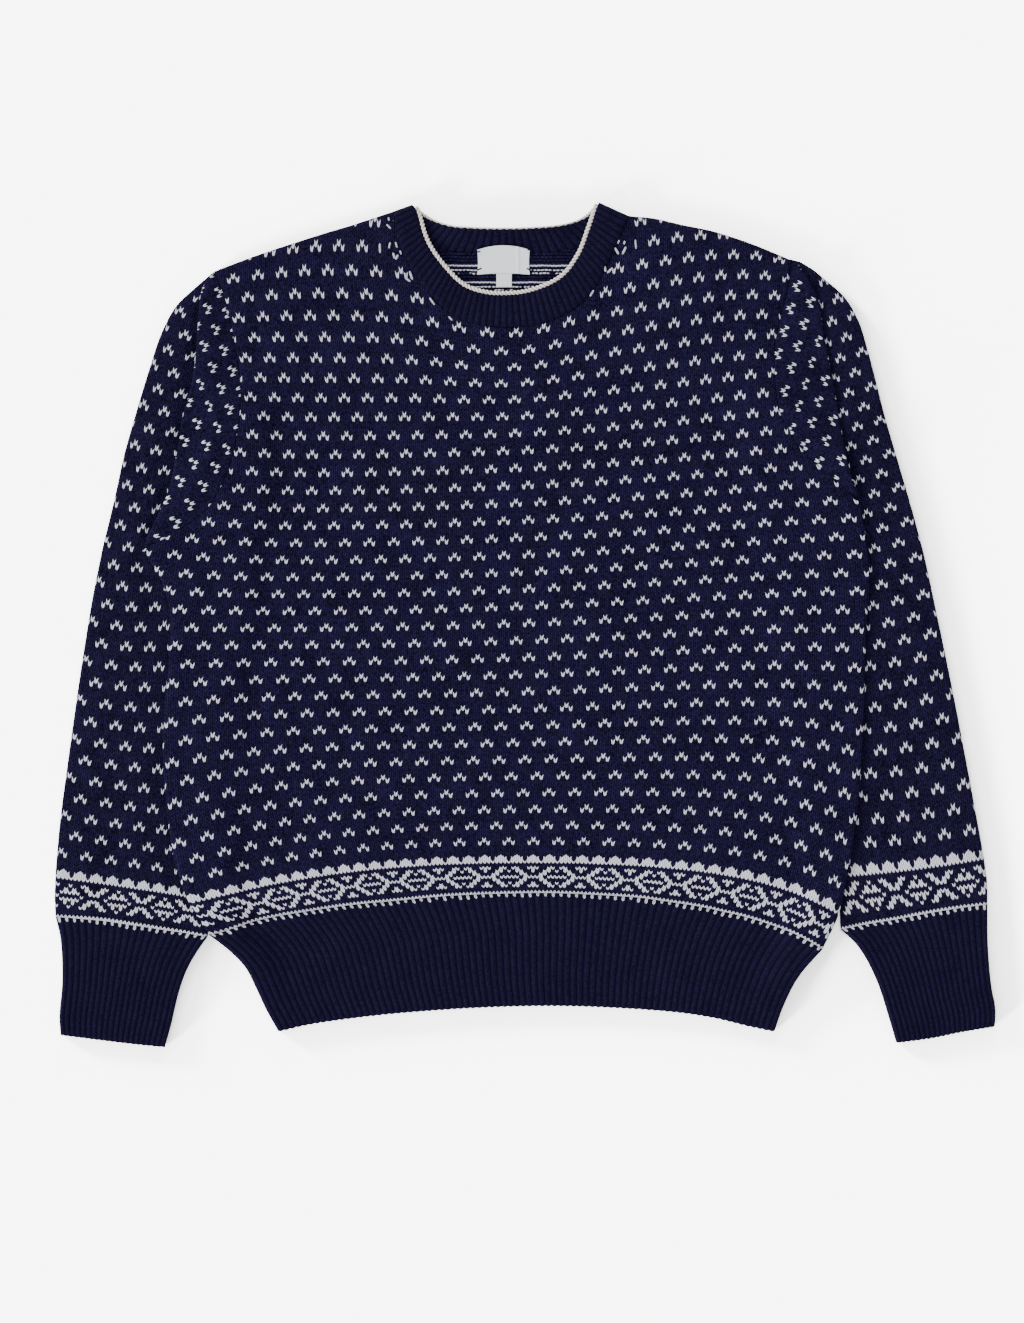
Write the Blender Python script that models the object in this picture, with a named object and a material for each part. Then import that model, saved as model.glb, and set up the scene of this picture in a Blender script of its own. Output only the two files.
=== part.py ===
# Crewneck sweater laid flat, face up, the front lying on the back and the body's sides lying on
# the sleeves. Metres, +Z up: x runs across the garment to the wearer's left sleeve, y from hem to
# neck, and the table is z = 0. Heights and outlines below are in millimetres.

import bpy
import bmesh
import numpy as np

MM = 0.001

# ---- the cloth ----
KNIT = 2.6              # thickness of one layer of the stranded knit
LAYER_GAP = 0.6         # air between two layers that lie on each other
SEAM_GAP = 0.35         # between two pieces that are sewn edge to edge
TWO_LAYERS = 2 * KNIT + LAYER_GAP
FOLD_START = 2.9        # height at which the front layer meets the back one along a fold
BODY_LOFT = 2.2         # how far the front puffs off the back, away from folds and overlaps
LOFT_REACH = 30.0       # distance over which the loft builds up from a folded edge
FOLD_RADIUS = 5.0       # plan width over which a folded edge turns down
TABLE_RADIUS = 2.0      # the same on the underside
SLEEVE_LOFT = 1.4       # puff of the sleeves' upper layer

# ---- the body's sides lie on the sleeves ----
OVERLAP_LIFT = TWO_LAYERS + 0.4   # lifts the body clear of the sleeve below it
LIFT_MARGIN = 15.0                # full lift carries on this far past the sleeve's hidden edge
LIFT_RAMP = 26.0                  # and fades out over this distance
CAP_LIP = 2.6                     # the folded sleeve cap stands this far over the sleeve proper

# ---- ribs ----
HEM_RIBS = 80           # ridges across the front of the hem rib
CUFF_RIBS = 20          # ridges across the upper side of a cuff
NECK_RIBS = 47          # ridges along the front of the neckband
BACK_NECK_RIBS = 24     # ridges that show on the inside of the back neckband
RIB_HEIGHT = 0.9
RIB_WALL = 2.2          # wall under the ridges

# ---- neck ----
TIPPING_RADIUS = 1.5
BACK_BAND_RISE = 9.0    # the back neckband's free edge stands off the table by this
LABEL_SIZE = (45.4, 22.1)
LABEL_AT = (-18.5, 304.8)
LABEL_ARCH = 3.0        # its top edge bows up by this
TAB_SIZE = (14.0, 9.4)
TAB_AT = (-18.5, 288.6)
LABEL_THICKNESS = 0.5
LABEL_FOOT = 310.5      # above this line across the neck the label climbs onto the band

# ---- outlines. Each row is a point down the piece, with columns x, y ----
MIDDLE = (-0.9, 0.2)    # middle of the whole outline in these tables, which lands on the origin
SIDE_LEFT = [  # body's edge, underarm to hem seam
    (-321.7, 62.2), (-311.6, 47.0), (-302.4, 27.7), (-298.2, 2.5), (-299.9, -31.9), (-304.5, -96.0),
    (-302.4, -141.0), (-297.0, -188.0), (-285.0, -228.0), (-266.3, -259.5)]
SIDE_RIGHT = [
    (281.0, 100.8), (285.5, 70.0), (288.8, 45.0), (285.5, 0.0), (283.9, -53.8), (281.0, -125.0),
    (274.5, -182.0), (262.0, -243.0), (248.6, -272.0)]
ARMHOLE_LEFT = [  # sleeve seam, shoulder to underarm
    (-262.1, 297.4), (-252.8, 274.7), (-243.6, 231.0), (-239.4, 195.7), (-241.1, 163.8),
    (-249.5, 129.4), (-266.3, 98.0), (-290.6, 79.5), (-321.7, 62.2)]
ARMHOLE_RIGHT = [
    (221.8, 307.4), (220.1, 283.1), (212.5, 252.8), (208.3, 228.5), (208.6, 202.4), (212.5, 178.9),
    (221.8, 159.6), (237.7, 139.4), (256.2, 123.5), (281.0, 100.8)]
SHOULDER_LEFT = [  # folded shoulder line, armhole to neckband
    (-262.1, 297.4), (-230.2, 309.6), (-175.6, 327.6), (-144.5, 337.0), (-111.7, 347.8)]
SHOULDER_RIGHT = [
    (86.5, 344.0), (108.4, 341.9), (130.2, 336.8), (157.9, 331.0), (190.0, 320.5), (221.8, 307.4)]
NECK_FRONT = [  # seam of the neckband on the front, left to right
    (-111.7, 347.8), (-103.3, 312.5), (-82.0, 278.5), (-63.8, 260.8), (-45.0, 253.0), (-25.2, 249.8),
    (0.0, 250.3), (20.0, 254.5), (42.0, 265.8), (57.0, 281.0), (72.2, 310.0), (86.5, 344.0)]
NECK_BACK = [  # the same on the back
    (-111.7, 347.8), (-102.0, 331.0), (-85.0, 319.0), (-59.6, 314.2), (-16.0, 312.5), (28.6, 314.2),
    (53.8, 323.0), (72.2, 333.0), (86.5, 344.0)]
BAND_FRONT_EDGE = [  # free edge of the neckband on the front, inside its tipping
    (-96.0, 353.5), (-93.0, 350.0), (-83.5, 321.5), (-70.0, 301.5), (-52.5, 284.5), (-34.5, 278.3),
    (-18.5, 277.2), (3.5, 279.8), (29.8, 291.6), (44.8, 310.8), (53.4, 332.8), (60.0, 352.0),
    (61.2, 355.6)]
BAND_BACK_EDGE = [
    (-94.0, 350.5), (-80.6, 341.0), (-63.0, 334.3), (-40.0, 332.2), (-19.3, 331.8), (5.0, 332.4),
    (30.2, 335.0), (48.0, 341.5), (60.6, 352.5)]
HEM_SEAM = [  # seam between body and hem rib, left to right
    (-266.3, -259.5), (-250.0, -256.5), (-233.5, -252.0), (-205.8, -244.4), (-164.6, -238.0),
    (-105.8, -231.8), (-51.2, -229.3), (-2.5, -228.5), (53.8, -229.3), (125.2, -237.0),
    (175.6, -247.5), (221.8, -262.1), (248.6, -272.0)]
HEM_LEFT = [
    (-266.3, -259.5), (-248.2, -274.0), (-235.4, -288.0), (-227.3, -304.0), (-219.2, -322.0),
    (-208.5, -341.5)]
HEM_RIGHT = [
    (248.6, -272.0), (233.5, -289.0), (226.0, -300.0), (220.5, -311.0), (215.6, -322.5), (209.0, -341.5)]
HEM_EDGE = [
    (-208.5, -341.5), (-180.6, -335.2), (-138.6, -329.3), (-105.8, -325.9), (-47.0, -321.7),
    (13.4, -319.8), (64.7, -320.9), (125.2, -325.1), (158.8, -330.1), (185.0, -336.5), (209.0, -341.5)]
SLEEVE_LEFT_OUT = [  # silhouette, shoulder to underarm
    (-269.4, 291.4), (-278.5, 283.5), (-294.5, 268.0), (-306.5, 246.1), (-316.0, 218.4),
    (-328.0, 178.9), (-338.2, 142.8), (-346.5, 105.0), (-356.5, 64.0)]
SLEEVE_LEFT_OUT_LOW = [  # underarm to cuff seam
    (-356.5, 64.0), (-364.6, 23.5), (-371.0, -15.1), (-377.0, -54.6), (-386.4, -121.8),
    (-391.4, -159.6), (-395.6, -205.8), (-396.5, -231.0), (-395.6, -248.6)]
SLEEVE_RIGHT_OUT = [
    (230.5, 305.6), (241.0, 299.2), (254.5, 288.1), (268.5, 275.0), (279.5, 256.2), (287.5, 231.0),
    (294.8, 203.3), (301.6, 176.4), (312.5, 139.0), (324.5, 98.0)]
SLEEVE_RIGHT_OUT_LOW = [
    (324.5, 98.0), (334.8, 58.8), (345.2, 10.9), (352.8, -25.2), (360.4, -63.0), (369.6, -110.9),
    (377.2, -152.0), (383.9, -189.0), (387.9, -216.7), (388.1, -239.4)]
CAP_FOLD_LEFT = [  # where the sleeve cap folds over the sleeve, shoulder to underarm
    (-265.8, 294.4), (-272.5, 281.4), (-276.0, 247.8), (-278.0, 222.6), (-282.2, 197.4),
    (-288.1, 175.6), (-293.2, 146.2), (-302.0, 108.0), (-322.7, 62.8)]
CAP_FOLD_RIGHT = [
    (226.2, 306.6), (238.0, 288.6), (246.8, 268.8), (249.5, 247.8), (256.2, 214.2), (261.7, 183.1),
    (265.8, 156.2), (271.5, 128.5), (282.0, 101.4)]
HIDDEN_LEFT = [  # inner edge of the sleeve under the body, from where it leaves the armhole seam
    (-241.1, 163.8), (-240.2, 130.2), (-244.4, 88.2), (-252.0, 40.0)]
HIDDEN_LEFT_LOW = [
    (-252.0, 40.0), (-259.6, -21.0), (-263.8, -79.8), (-266.3, -138.6), (-267.4, -197.4),
    (-267.6, -262.0)]
HIDDEN_RIGHT = [
    (208.6, 202.4), (210.5, 155.4), (217.4, 105.0), (226.6, 62.0)]
HIDDEN_RIGHT_LOW = [
    (226.6, 62.0), (237.9, -12.6), (248.0, -79.8), (256.4, -147.0), (262.4, -205.8), (264.4, -258.0)]
CUFF_LEFT_OUT = [
    (-395.6, -248.6), (-391.6, -264.0), (-390.2, -299.9), (-392.6, -330.0), (-391.5, -345.0)]
CUFF_LEFT_IN = [
    (-267.6, -262.0), (-275.5, -273.0), (-284.8, -289.0), (-292.3, -310.0), (-298.2, -335.2),
    (-303.8, -355.2)]
CUFF_LEFT_EDGE = [(-391.5, -345.0), (-350.3, -350.3), (-325.1, -353.2), (-303.8, -355.2)]
CUFF_RIGHT_OUT = [
    (388.1, -239.4), (388.6, -270.0), (391.6, -305.0), (394.9, -322.0), (394.4, -337.0)]
CUFF_RIGHT_IN = [
    (264.4, -258.0), (277.2, -267.9), (286.4, -281.4), (296.5, -303.2), (305.0, -330.0),
    (311.2, -351.0)]
CUFF_RIGHT_EDGE = [(394.4, -337.0), (366.2, -341.9), (341.9, -346.9), (311.2, -351.0)]

# ---- soft folds in the front layer. Columns: x, y, direction in degrees, length, width, height ----
BODY_FOLDS = [
    (-20.0, 26.0, -2.0, 300.0, 26.0, 1.3),
    (-150.0, 12.0, 4.0, 120.0, 22.0, -1.2),
    (150.0, 60.0, 8.0, 170.0, 30.0, 1.0),
    (-62.0, -176.0, 35.0, 55.0, 20.0, -1.4),
    (120.0, -150.0, -30.0, 90.0, 26.0, 1.1),
    (-170.0, -170.0, 62.0, 80.0, 22.0, 1.0),
    (0.0, 205.0, 0.0, 120.0, 24.0, 1.0),
    (-180.0, 120.0, 52.0, 90.0, 22.0, -1.0),
    (165.0, 150.0, -48.0, 80.0, 22.0, -1.0),
]
SLEEVE_FOLDS = [
    (-330.0, 40.0, 40.0, 40.0, 16.0, 1.2),
    (-350.0, -60.0, -20.0, 45.0, 18.0, 0.9),
    (-345.0, -150.0, 15.0, 50.0, 20.0, -0.8),
    (310.0, 60.0, -38.0, 40.0, 16.0, 1.2),
    (325.0, -40.0, 18.0, 45.0, 18.0, 0.9),
    (340.0, -140.0, -12.0, 50.0, 20.0, -0.8),
]

# ---- grid ----
EDGE_STEPS = [0.0, 0.8, 2.2, 5.0]          # distances of the first grid lines from a folded side
NEAR_STEPS = [12.0, 24.0, 38.0, 56.0]       # and of the next ones, over the sleeve
MIDDLE_COLUMNS = 12
SHOULDER_COLUMNS = 8
SHOULDER_STEPS = [5.0, 14.0]               # first rows down the armhole
ARMHOLE_ROWS = 10
SIDE_ROWS = 10
CHEST_ROW = 5                              # armhole row that front and back still share
LOW_STATIONS = 10
HEM_ROWS = 3


# ======== curves and grids ========

def smooth(points, per_span=12):
    """Centripetal spline through the points, as a dense polyline."""
    p = np.array(points, float)
    if len(p) < 3:
        return p
    ends = [2 * p[0] - p[1], *p, 2 * p[-1] - p[-2]]
    made = []
    for a, b, c, d in zip(ends, ends[1:], ends[2:], ends[3:]):
        t0 = 0.0
        t1 = t0 + np.sqrt(np.linalg.norm(b - a))
        t2 = t1 + np.sqrt(np.linalg.norm(c - b))
        t3 = t2 + np.sqrt(np.linalg.norm(d - c))
        t = np.linspace(t1, t2, per_span, endpoint=False)[:, None]
        ab = (t1 - t) / (t1 - t0) * a + (t - t0) / (t1 - t0) * b
        bc = (t2 - t) / (t2 - t1) * b + (t - t1) / (t2 - t1) * c
        cd = (t3 - t) / (t3 - t2) * c + (t - t2) / (t3 - t2) * d
        abc = (t2 - t) / (t2 - t0) * ab + (t - t0) / (t2 - t0) * bc
        bcd = (t3 - t) / (t3 - t1) * bc + (t - t1) / (t3 - t1) * cd
        made.append((t2 - t) / (t2 - t1) * abc + (t - t1) / (t2 - t1) * bcd)
    return np.vstack([*made, p[-1:]])


def run(line):
    """Distance along a polyline at each of its points."""
    step = np.linalg.norm(np.diff(line, axis=0), axis=1)
    return np.concatenate([[0.0], np.cumsum(step)])


def at_shares(line, shares):
    """Points at these shares of a polyline's length."""
    along = run(line)
    want = np.asarray(shares, float) * along[-1]
    return np.stack([np.interp(want, along, line[:, k]) for k in range(line.shape[1])], 1)


def at_steps(line, count, first=()):
    """count + 1 points along a line: the first ones at these distances, the rest evenly spread."""
    total = run(line)[-1]
    near = np.array([0.0, *first]) / total
    rest = np.linspace(near[-1], 1.0, count + 2 - len(near))[1:]
    return at_shares(line, np.concatenate([near, rest]))


def ease(s):
    """0 to 1 with level ends."""
    s = np.clip(s, 0.0, 1.0)
    return s * s * (3 - 2 * s)


def turn(s):
    """Quarter ellipse from 0 at a folded edge to 1 where the cloth lies level."""
    s = np.clip(s, 0.0, 1.0)
    return np.sqrt(1 - (1 - s) ** 2)


def distance(points, line):
    """Shortest plan distance from each point to a polyline."""
    flat = points.reshape(-1, 1, 2)
    a, b = line[None, :-1], line[None, 1:]
    span = b - a
    share = ((flat - a) * span).sum(2) / np.maximum((span ** 2).sum(2), 1e-9)
    near = a + np.clip(share, 0, 1)[..., None] * span
    return np.linalg.norm(flat - near, axis=2).min(1).reshape(points.shape[:-1])


def inside(points, ring):
    """Whether each point lies inside a closed outline."""
    flat = points.reshape(-1, 2)
    x, y = flat[:, :1], flat[:, 1:]
    x1, y1 = ring[None, :, 0], ring[None, :, 1]
    x2, y2 = np.roll(x1, -1, 1), np.roll(y1, -1, 1)
    crosses = (y1 > y) != (y2 > y)
    rise = np.where(np.abs(y2 - y1) < 1e-9, 1e-9, y2 - y1)
    return ((crosses & (x < (x2 - x1) * (y - y1) / rise + x1)).sum(1) % 2 == 1).reshape(points.shape[:-1])


def patch(bottom, top, left, right):
    """Grid between four sides: rows run from bottom to top, columns from left to right."""
    u = (run(bottom) / run(bottom)[-1] + run(top) / run(top)[-1]) / 2
    v = (run(left) / run(left)[-1] + run(right) / run(right)[-1]) / 2
    u, v = u[None, :, None], v[:, None, None]
    across = (1 - u) * left[:, None] + u * right[:, None]
    along = (1 - v) * bottom[None] + v * top[None]
    corners = ((1 - u) * (1 - v) * bottom[0] + u * (1 - v) * bottom[-1]
               + (1 - u) * v * top[0] + u * v * top[-1])
    return across + along - corners


def folds(points, rows):
    """Height of soft ridges and troughs: a bell across each fold and along its length."""
    height = np.zeros(points.shape[:-1])
    for x, y, degrees, length, width, rise in rows:
        angle = np.radians(degrees)
        dx, dy = points[..., 0] - x, points[..., 1] - y
        along = dx * np.cos(angle) + dy * np.sin(angle)
        across = dy * np.cos(angle) - dx * np.sin(angle)
        height += rise * np.exp(-(across / width) ** 2 - (2 * along / length) ** 2)
    return height


# ======== the shared lines ========

side_left = smooth(SIDE_LEFT)
side_right = smooth(SIDE_RIGHT)
armhole_left = at_steps(smooth(ARMHOLE_LEFT), ARMHOLE_ROWS, SHOULDER_STEPS)
armhole_right = at_steps(smooth(ARMHOLE_RIGHT), ARMHOLE_ROWS, SHOULDER_STEPS)
shoulder_left = smooth(SHOULDER_LEFT)
shoulder_right = smooth(SHOULDER_RIGHT)
folded_edges = [side_left, side_right, shoulder_left, shoulder_right]


def overlap_ring(armhole, hidden, hidden_low, side):
    """Plan of the stretch of sleeve that lies under the body."""
    seam = smooth(armhole)
    start = np.argmin(np.linalg.norm(seam - hidden[0], axis=1))
    return np.vstack([smooth(hidden), smooth(hidden_low)[1:], side[::-1], seam[start:][::-1]])


overlaps = [
    overlap_ring(ARMHOLE_LEFT, HIDDEN_LEFT, HIDDEN_LEFT_LOW, side_left),
    overlap_ring(ARMHOLE_RIGHT, HIDDEN_RIGHT, HIDDEN_RIGHT_LOW, side_right),
]


def lift(points):
    """How high the body's underside lies: full over the sleeves, fading to the table."""
    height = np.zeros(points.shape[:-1])
    for ring in overlaps:
        away = np.where(inside(points, ring), 0.0, distance(points, np.vstack([ring, ring[:1]])))
        height = np.maximum(height, OVERLAP_LIFT * (1 - ease((away - LIFT_MARGIN) / LIFT_RAMP)))
    return height


def fold_distance(points):
    """Distance to the nearest folded edge of the body."""
    return np.min([distance(points, line) for line in folded_edges], 0)


def loft(points, raised):
    """Puff of the front layer over the back one, less where the body lies on a sleeve."""
    away = fold_distance(points)
    puff = BODY_LOFT * (1 - np.exp(-away / LOFT_REACH)) * (1 - 0.75 * raised / OVERLAP_LIFT)
    return puff + folds(points, BODY_FOLDS) * ease((away - 8) / 30) * (1 - 0.6 * raised / OVERLAP_LIFT)


# ======== solids ========

def triangles(rows, columns, start=0, flip=False):
    """Two triangles for each cell of a grid whose first vertex is start."""
    i, j = np.meshgrid(np.arange(rows - 1), np.arange(columns - 1), indexing="ij")
    a = start + i * columns + j
    b, c, d = a + 1, a + columns + 1, a + columns
    made = np.concatenate([np.stack([a, b, c], -1).reshape(-1, 3), np.stack([a, c, d], -1).reshape(-1, 3)])
    return made[:, ::-1] if flip else made


def strip(one, two):
    """Triangles between two rows of vertex numbers."""
    one, two = np.asarray(one), np.asarray(two)
    return np.concatenate([np.stack([one[:-1], one[1:], two[1:]], 1),
                           np.stack([one[:-1], two[1:], two[:-1]], 1)])


def material(name, colour, roughness):
    """Plain knit or cloth finish."""
    made = bpy.data.materials.new(name)
    made.use_nodes = True
    shader = made.node_tree.nodes["Principled BSDF"]
    shader.inputs["Base Color"].default_value = (*colour, 1.0)
    shader.inputs["Roughness"].default_value = roughness
    shader.inputs["Metallic"].default_value = 0.0
    return made


def solid(name, points, faces, finish):
    """One closed body with its faces pointing out. Points are in millimetres."""
    mesh = bpy.data.meshes.new(name)
    points = (np.asarray(points) - np.append(MIDDLE, 0.0)) * MM
    mesh.from_pydata(points.tolist(), [], np.asarray(faces).tolist())
    work = bmesh.new()
    work.from_mesh(mesh)
    bmesh.ops.recalc_face_normals(work, faces=work.faces)
    if work.calc_volume(signed=True) < 0:
        bmesh.ops.reverse_faces(work, faces=work.faces)
    work.to_mesh(mesh)
    work.free()
    mesh.shade_smooth()
    mesh.set_sharp_from_angle(angle=np.radians(50))
    mesh.materials.append(finish)
    made = bpy.data.objects.new(name, mesh)
    bpy.context.scene.collection.objects.link(made)
    return made


def panel(name, plan, upper, lower, finish):
    """A layer of cloth: an upper and a lower face over one plan grid, closed round its rim."""
    rows, columns = plan.shape[:2]
    top = np.dstack([plan, upper]).reshape(-1, 3)
    under = np.dstack([plan, lower]).reshape(-1, 3)
    number = np.arange(rows * columns).reshape(rows, columns)
    rim = np.concatenate([number[0], number[1:, -1], number[-1, -2::-1], number[-2::-1, 0]])
    faces = np.concatenate([triangles(rows, columns), triangles(rows, columns, len(top), flip=True),
                            strip(rim, rim + len(top))])
    return solid(name, np.vstack([top, under]), faces, finish)


def tube(name, outer, inner, finish):
    """A wall between two stacks of closed rings, open at both ends. Stations, ring points, xyz."""
    stations, around = outer.shape[:2]
    number = np.arange(stations * around).reshape(stations, around)
    number = np.hstack([number, number[:, :1]])
    skins = [np.concatenate([strip(a, b) for a, b in zip(number, number[1:])])]
    skins.append(skins[0][:, ::-1] + stations * around)
    ends = [strip(number[0], number[0] + stations * around),
            strip(number[-1], number[-1] + stations * around)]
    points = np.vstack([outer.reshape(-1, 3), inner.reshape(-1, 3)])
    return solid(name, points, np.concatenate(skins + ends), finish)


# ======== body ========

def column_shares(line, middle):
    """Shares of a row for its columns: close to both folded sides, then evenly between."""
    total = run(line)[-1]
    near = np.array(EDGE_STEPS + NEAR_STEPS) / total
    centre = np.linspace(near[-1], 1 - near[-1], middle + 2)[1:-1]
    return np.concatenate([near, centre, 1 - near[::-1]])


def top_line(neck):
    """Top boundary of a body panel: shoulder, neck seam, shoulder, in as many points as the hem."""
    count = 2 * len(EDGE_STEPS + NEAR_STEPS) + MIDDLE_COLUMNS
    neck_points = count - 2 * SHOULDER_COLUMNS
    return np.vstack([at_steps(shoulder_left, SHOULDER_COLUMNS)[:-1],
                      at_steps(smooth(neck), neck_points - 1),
                      at_steps(shoulder_right, SHOULDER_COLUMNS)[1:]])


hem_line = at_shares(smooth(HEM_SEAM), column_shares(smooth(HEM_SEAM), MIDDLE_COLUMNS))
side_rows_left = at_steps(side_left[::-1], SIDE_ROWS)
side_rows_right = at_steps(side_right[::-1], SIDE_ROWS)
body_left = np.vstack([side_rows_left, armhole_left[::-1][1:]])
body_right = np.vstack([side_rows_right, armhole_right[::-1][1:]])
chest = SIDE_ROWS + ARMHOLE_ROWS - CHEST_ROW
chest_span = np.linspace(0, 1, len(hem_line))
chest_shares = column_shares(np.array([body_left[chest], body_right[chest]]), MIDDLE_COLUMNS)
chest_shares = 0.5 * chest_shares + 0.5 * chest_span
chest_line = body_left[chest] + chest_shares[:, None] * (body_right[chest] - body_left[chest])


def body_plan(neck):
    """Plan grid of a body panel. Front and back share it up to the chest."""
    low = patch(hem_line, chest_line, body_left[:chest + 1], body_right[:chest + 1])
    high = patch(chest_line, top_line(neck), body_left[chest:], body_right[chest:])
    return np.vstack([low, high[1:]])


def build_body(knit):
    front = body_plan(NECK_FRONT)
    raised = lift(front)
    away = fold_distance(front)
    puff = loft(front, raised)
    upper = raised + FOLD_START + 0.5 + (TWO_LAYERS + puff - FOLD_START - 0.5) * turn(away / FOLD_RADIUS)
    lower = raised + FOLD_START + np.maximum(puff, 0.2) * ease(away / FOLD_RADIUS)
    panel("front", front, upper, lower, knit)
    back = body_plan(NECK_BACK)
    raised = lift(back)
    away = fold_distance(back)
    under = raised + 1.3 * (1 - turn(away / TABLE_RADIUS))
    panel("back", back, raised + KNIT, under, knit)


# ======== hem rib ========

def ribbed(count):
    """Shares across a ribbed edge, and how high the rib stands at each: valleys and ridges in turn."""
    share = (np.arange(2 * count + 1)) / (2 * count)
    return share, (np.arange(2 * count + 1) % 2).astype(float)


def build_hem(rib):
    left = at_steps(smooth(HEM_LEFT), HEM_ROWS)
    right = at_steps(smooth(HEM_RIGHT), HEM_ROWS)
    bottom = at_shares(smooth(HEM_EDGE), column_shares(smooth(HEM_EDGE), MIDDLE_COLUMNS))
    coarse = patch(hem_line, bottom, left, right)
    raised = lift(coarse[0]) * (1 - ease(np.linspace(0, 1, HEM_ROWS + 1)))[:, None]
    coarse[0] += unit(coarse[1] - coarse[0]) * SEAM_GAP
    sides = [left, right]
    away = np.min([distance(coarse, line) for line in sides], 0)
    under = raised + 1.1 * (1 - turn(away / TABLE_RADIUS))
    panel("hem_rib_back", coarse, raised + KNIT, under, rib)
    share, ridge = ribbed(HEM_RIBS)
    fine = np.array([at_shares(line, share) for line in np.dstack([coarse, raised])])
    plan, raised = fine[..., :2], fine[..., 2]
    away = np.min([distance(plan, line) for line in sides], 0)
    round_off = turn(away / FOLD_RADIUS)
    end = np.array([0.75, 1, 1, 0.8])[:, None]
    upper = raised + FOLD_START + 1.0 + (RIB_WALL + ridge * RIB_HEIGHT * end) * round_off
    lower = raised + FOLD_START + 0.5 + 0 * upper
    panel("hem_rib_front", plan, upper, lower, rib)


# ======== sleeves ========

def unit(vector):
    return vector / np.maximum(np.linalg.norm(vector, axis=-1, keepdims=True), 1e-9)


def sleeve_lines(side, hidden, hidden_low, seam, fold, out, out_low):
    """Four lines down a sleeve, with a station each: hidden edge, seam, cap fold and silhouette.

    Below the underarm the second and third only divide the sleeve at the body's edge. The last
    value returned is the number of stations where the seam itself is the sleeve's inner edge.
    """
    count = len(seam) - 1
    leaves = int(np.argmin(np.linalg.norm(seam - hidden[0], axis=1)))
    hidden_line = at_steps(smooth([tuple(seam[leaves]), *hidden[1:]]), count - leaves)
    inner_low = at_steps(smooth(hidden_low), LOW_STATIONS)
    out_down = at_steps(smooth(out_low), LOW_STATIONS)
    across = unit(out_down - inner_low)
    edge = ((at_steps(side, LOW_STATIONS) - inner_low) * across).sum(1)[:, None] + 1.2
    fold_low = inner_low + across * np.maximum(edge, 9.0)
    seam_low = inner_low + across * np.maximum(0.5 * edge, 4.5)
    inner = np.vstack([seam[:leaves], hidden_line, inner_low[1:]])
    lines = [inner, np.vstack([seam, seam_low[1:]]),
             np.vstack([at_steps(smooth(fold), count, SHOULDER_STEPS), fold_low[1:]]),
             np.vstack([at_steps(smooth(out), count, SHOULDER_STEPS), out_down[1:]])]
    return lines, leaves + 1


def build_sleeve(name, lines, beside, cap_stations, knit):
    """Flattened tube. Each ring goes over the top from hidden edge to silhouette, and back below."""
    inner, seam, fold, out = lines
    stations = len(inner)
    number = np.arange(stations)[:, None]
    outward = unit(out - inner)
    along = unit(np.gradient(seam, axis=0))
    clear = np.column_stack([-along[:, 1], along[:, 0]])
    clear = clear * np.sign((clear * outward).sum(1))[:, None] * SEAM_GAP
    inner = np.where(number < beside, seam + clear, inner)
    seam = seam + clear * np.where(number < beside, 2, 1)
    width = np.linalg.norm(fold - seam, axis=1)[:, None]
    cap = number < cap_stations
    shoulder = 0.15 + 0.85 * ease(run(seam) / 22.0)[:, None]      # the top fold turns down to the shoulder point

    def between(a, b, shares):
        return a[:, None] + (b - a)[:, None] * np.asarray(shares)[..., None]

    # over the top: the stretch under the body, the cap up to its fold, then the sleeve proper
    under_plan = between(inner, seam, [0, 0.4, 1.0])
    under_z = np.where(number < beside, [[1.2, FOLD_START, FOLD_START + 0.6]],
                       [[FOLD_START + 0.4, TWO_LAYERS - 0.4, TWO_LAYERS - 0.1]])
    lip = np.minimum(1.6, 0.25 * width) / width
    cap_plan = between(seam, fold, np.hstack([0.02 + 0 * width, 0.3 + 0 * width, 0.65 + 0 * width,
                                              1 - lip, 1 - 0.25 * lip]))
    over = lift(cap_plan) + CAP_LIP * np.array([0.3, 0.8, 1, 0.9, 0.45])
    over = np.minimum(over, 0.6 * width + 0.5 * CAP_LIP)
    cap_z = TWO_LAYERS + np.where(cap, over, 0.0)
    arm_shares = np.array([0.0, 0.16, 0.38, 0.62, 0.82, 0.93, 0.98, 1.0])
    arm_plan = between(fold + (out - fold) * 0.012, out, arm_shares[None])
    across = np.linalg.norm(arm_plan - out[:, None], axis=2)
    inland = ease(across / 25)
    puff = SLEEVE_LOFT * inland * ease((arm_shares + 0.05) / 0.35)
    puff = puff + folds(arm_plan, SLEEVE_FOLDS) * inland * ease(arm_shares / 0.3)
    edge_z = FOLD_START + 0.3
    arm_z = edge_z + (TWO_LAYERS + puff - edge_z) * turn(across / FOLD_RADIUS)
    below_plan = between(out, inner, np.array([[0.006, 0.3, 0.65, 0.994]]))
    below_z = np.array([0.35, 0, 0, 0.35]) + 0 * below_plan[..., 0]
    plan = np.concatenate([under_plan, cap_plan, arm_plan, below_plan], 1)
    top_z = np.concatenate([under_z, cap_z, arm_z], 1)
    top_z = edge_z + (top_z - edge_z) * np.where(top_z > edge_z, shoulder, 1.0)
    outer = np.dstack([plan, np.concatenate([top_z, below_z], 1)])
    # the plain inside: the same columns drawn in by the wall, on two level faces
    slim = np.linalg.norm(out - inner, axis=1)[:, None]
    share = ((plan - inner[:, None]) * unit(out - inner)[:, None]).sum(2) / slim
    draw = np.minimum(KNIT, 0.3 * slim) / slim
    flat = between(inner, out, draw + share.clip(0, 1) * (1 - 2 * draw))
    level = np.where(np.arange(plan.shape[1]) < top_z.shape[1], KNIT + 0.5, KNIT)
    level[:3] = KNIT + np.array([0.1, 0.25, 0.4])
    level[top_z.shape[1] - 1] = KNIT + 0.25
    tube(name, outer, np.dstack([flat, level[None] + 0 * share]), knit)


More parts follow.
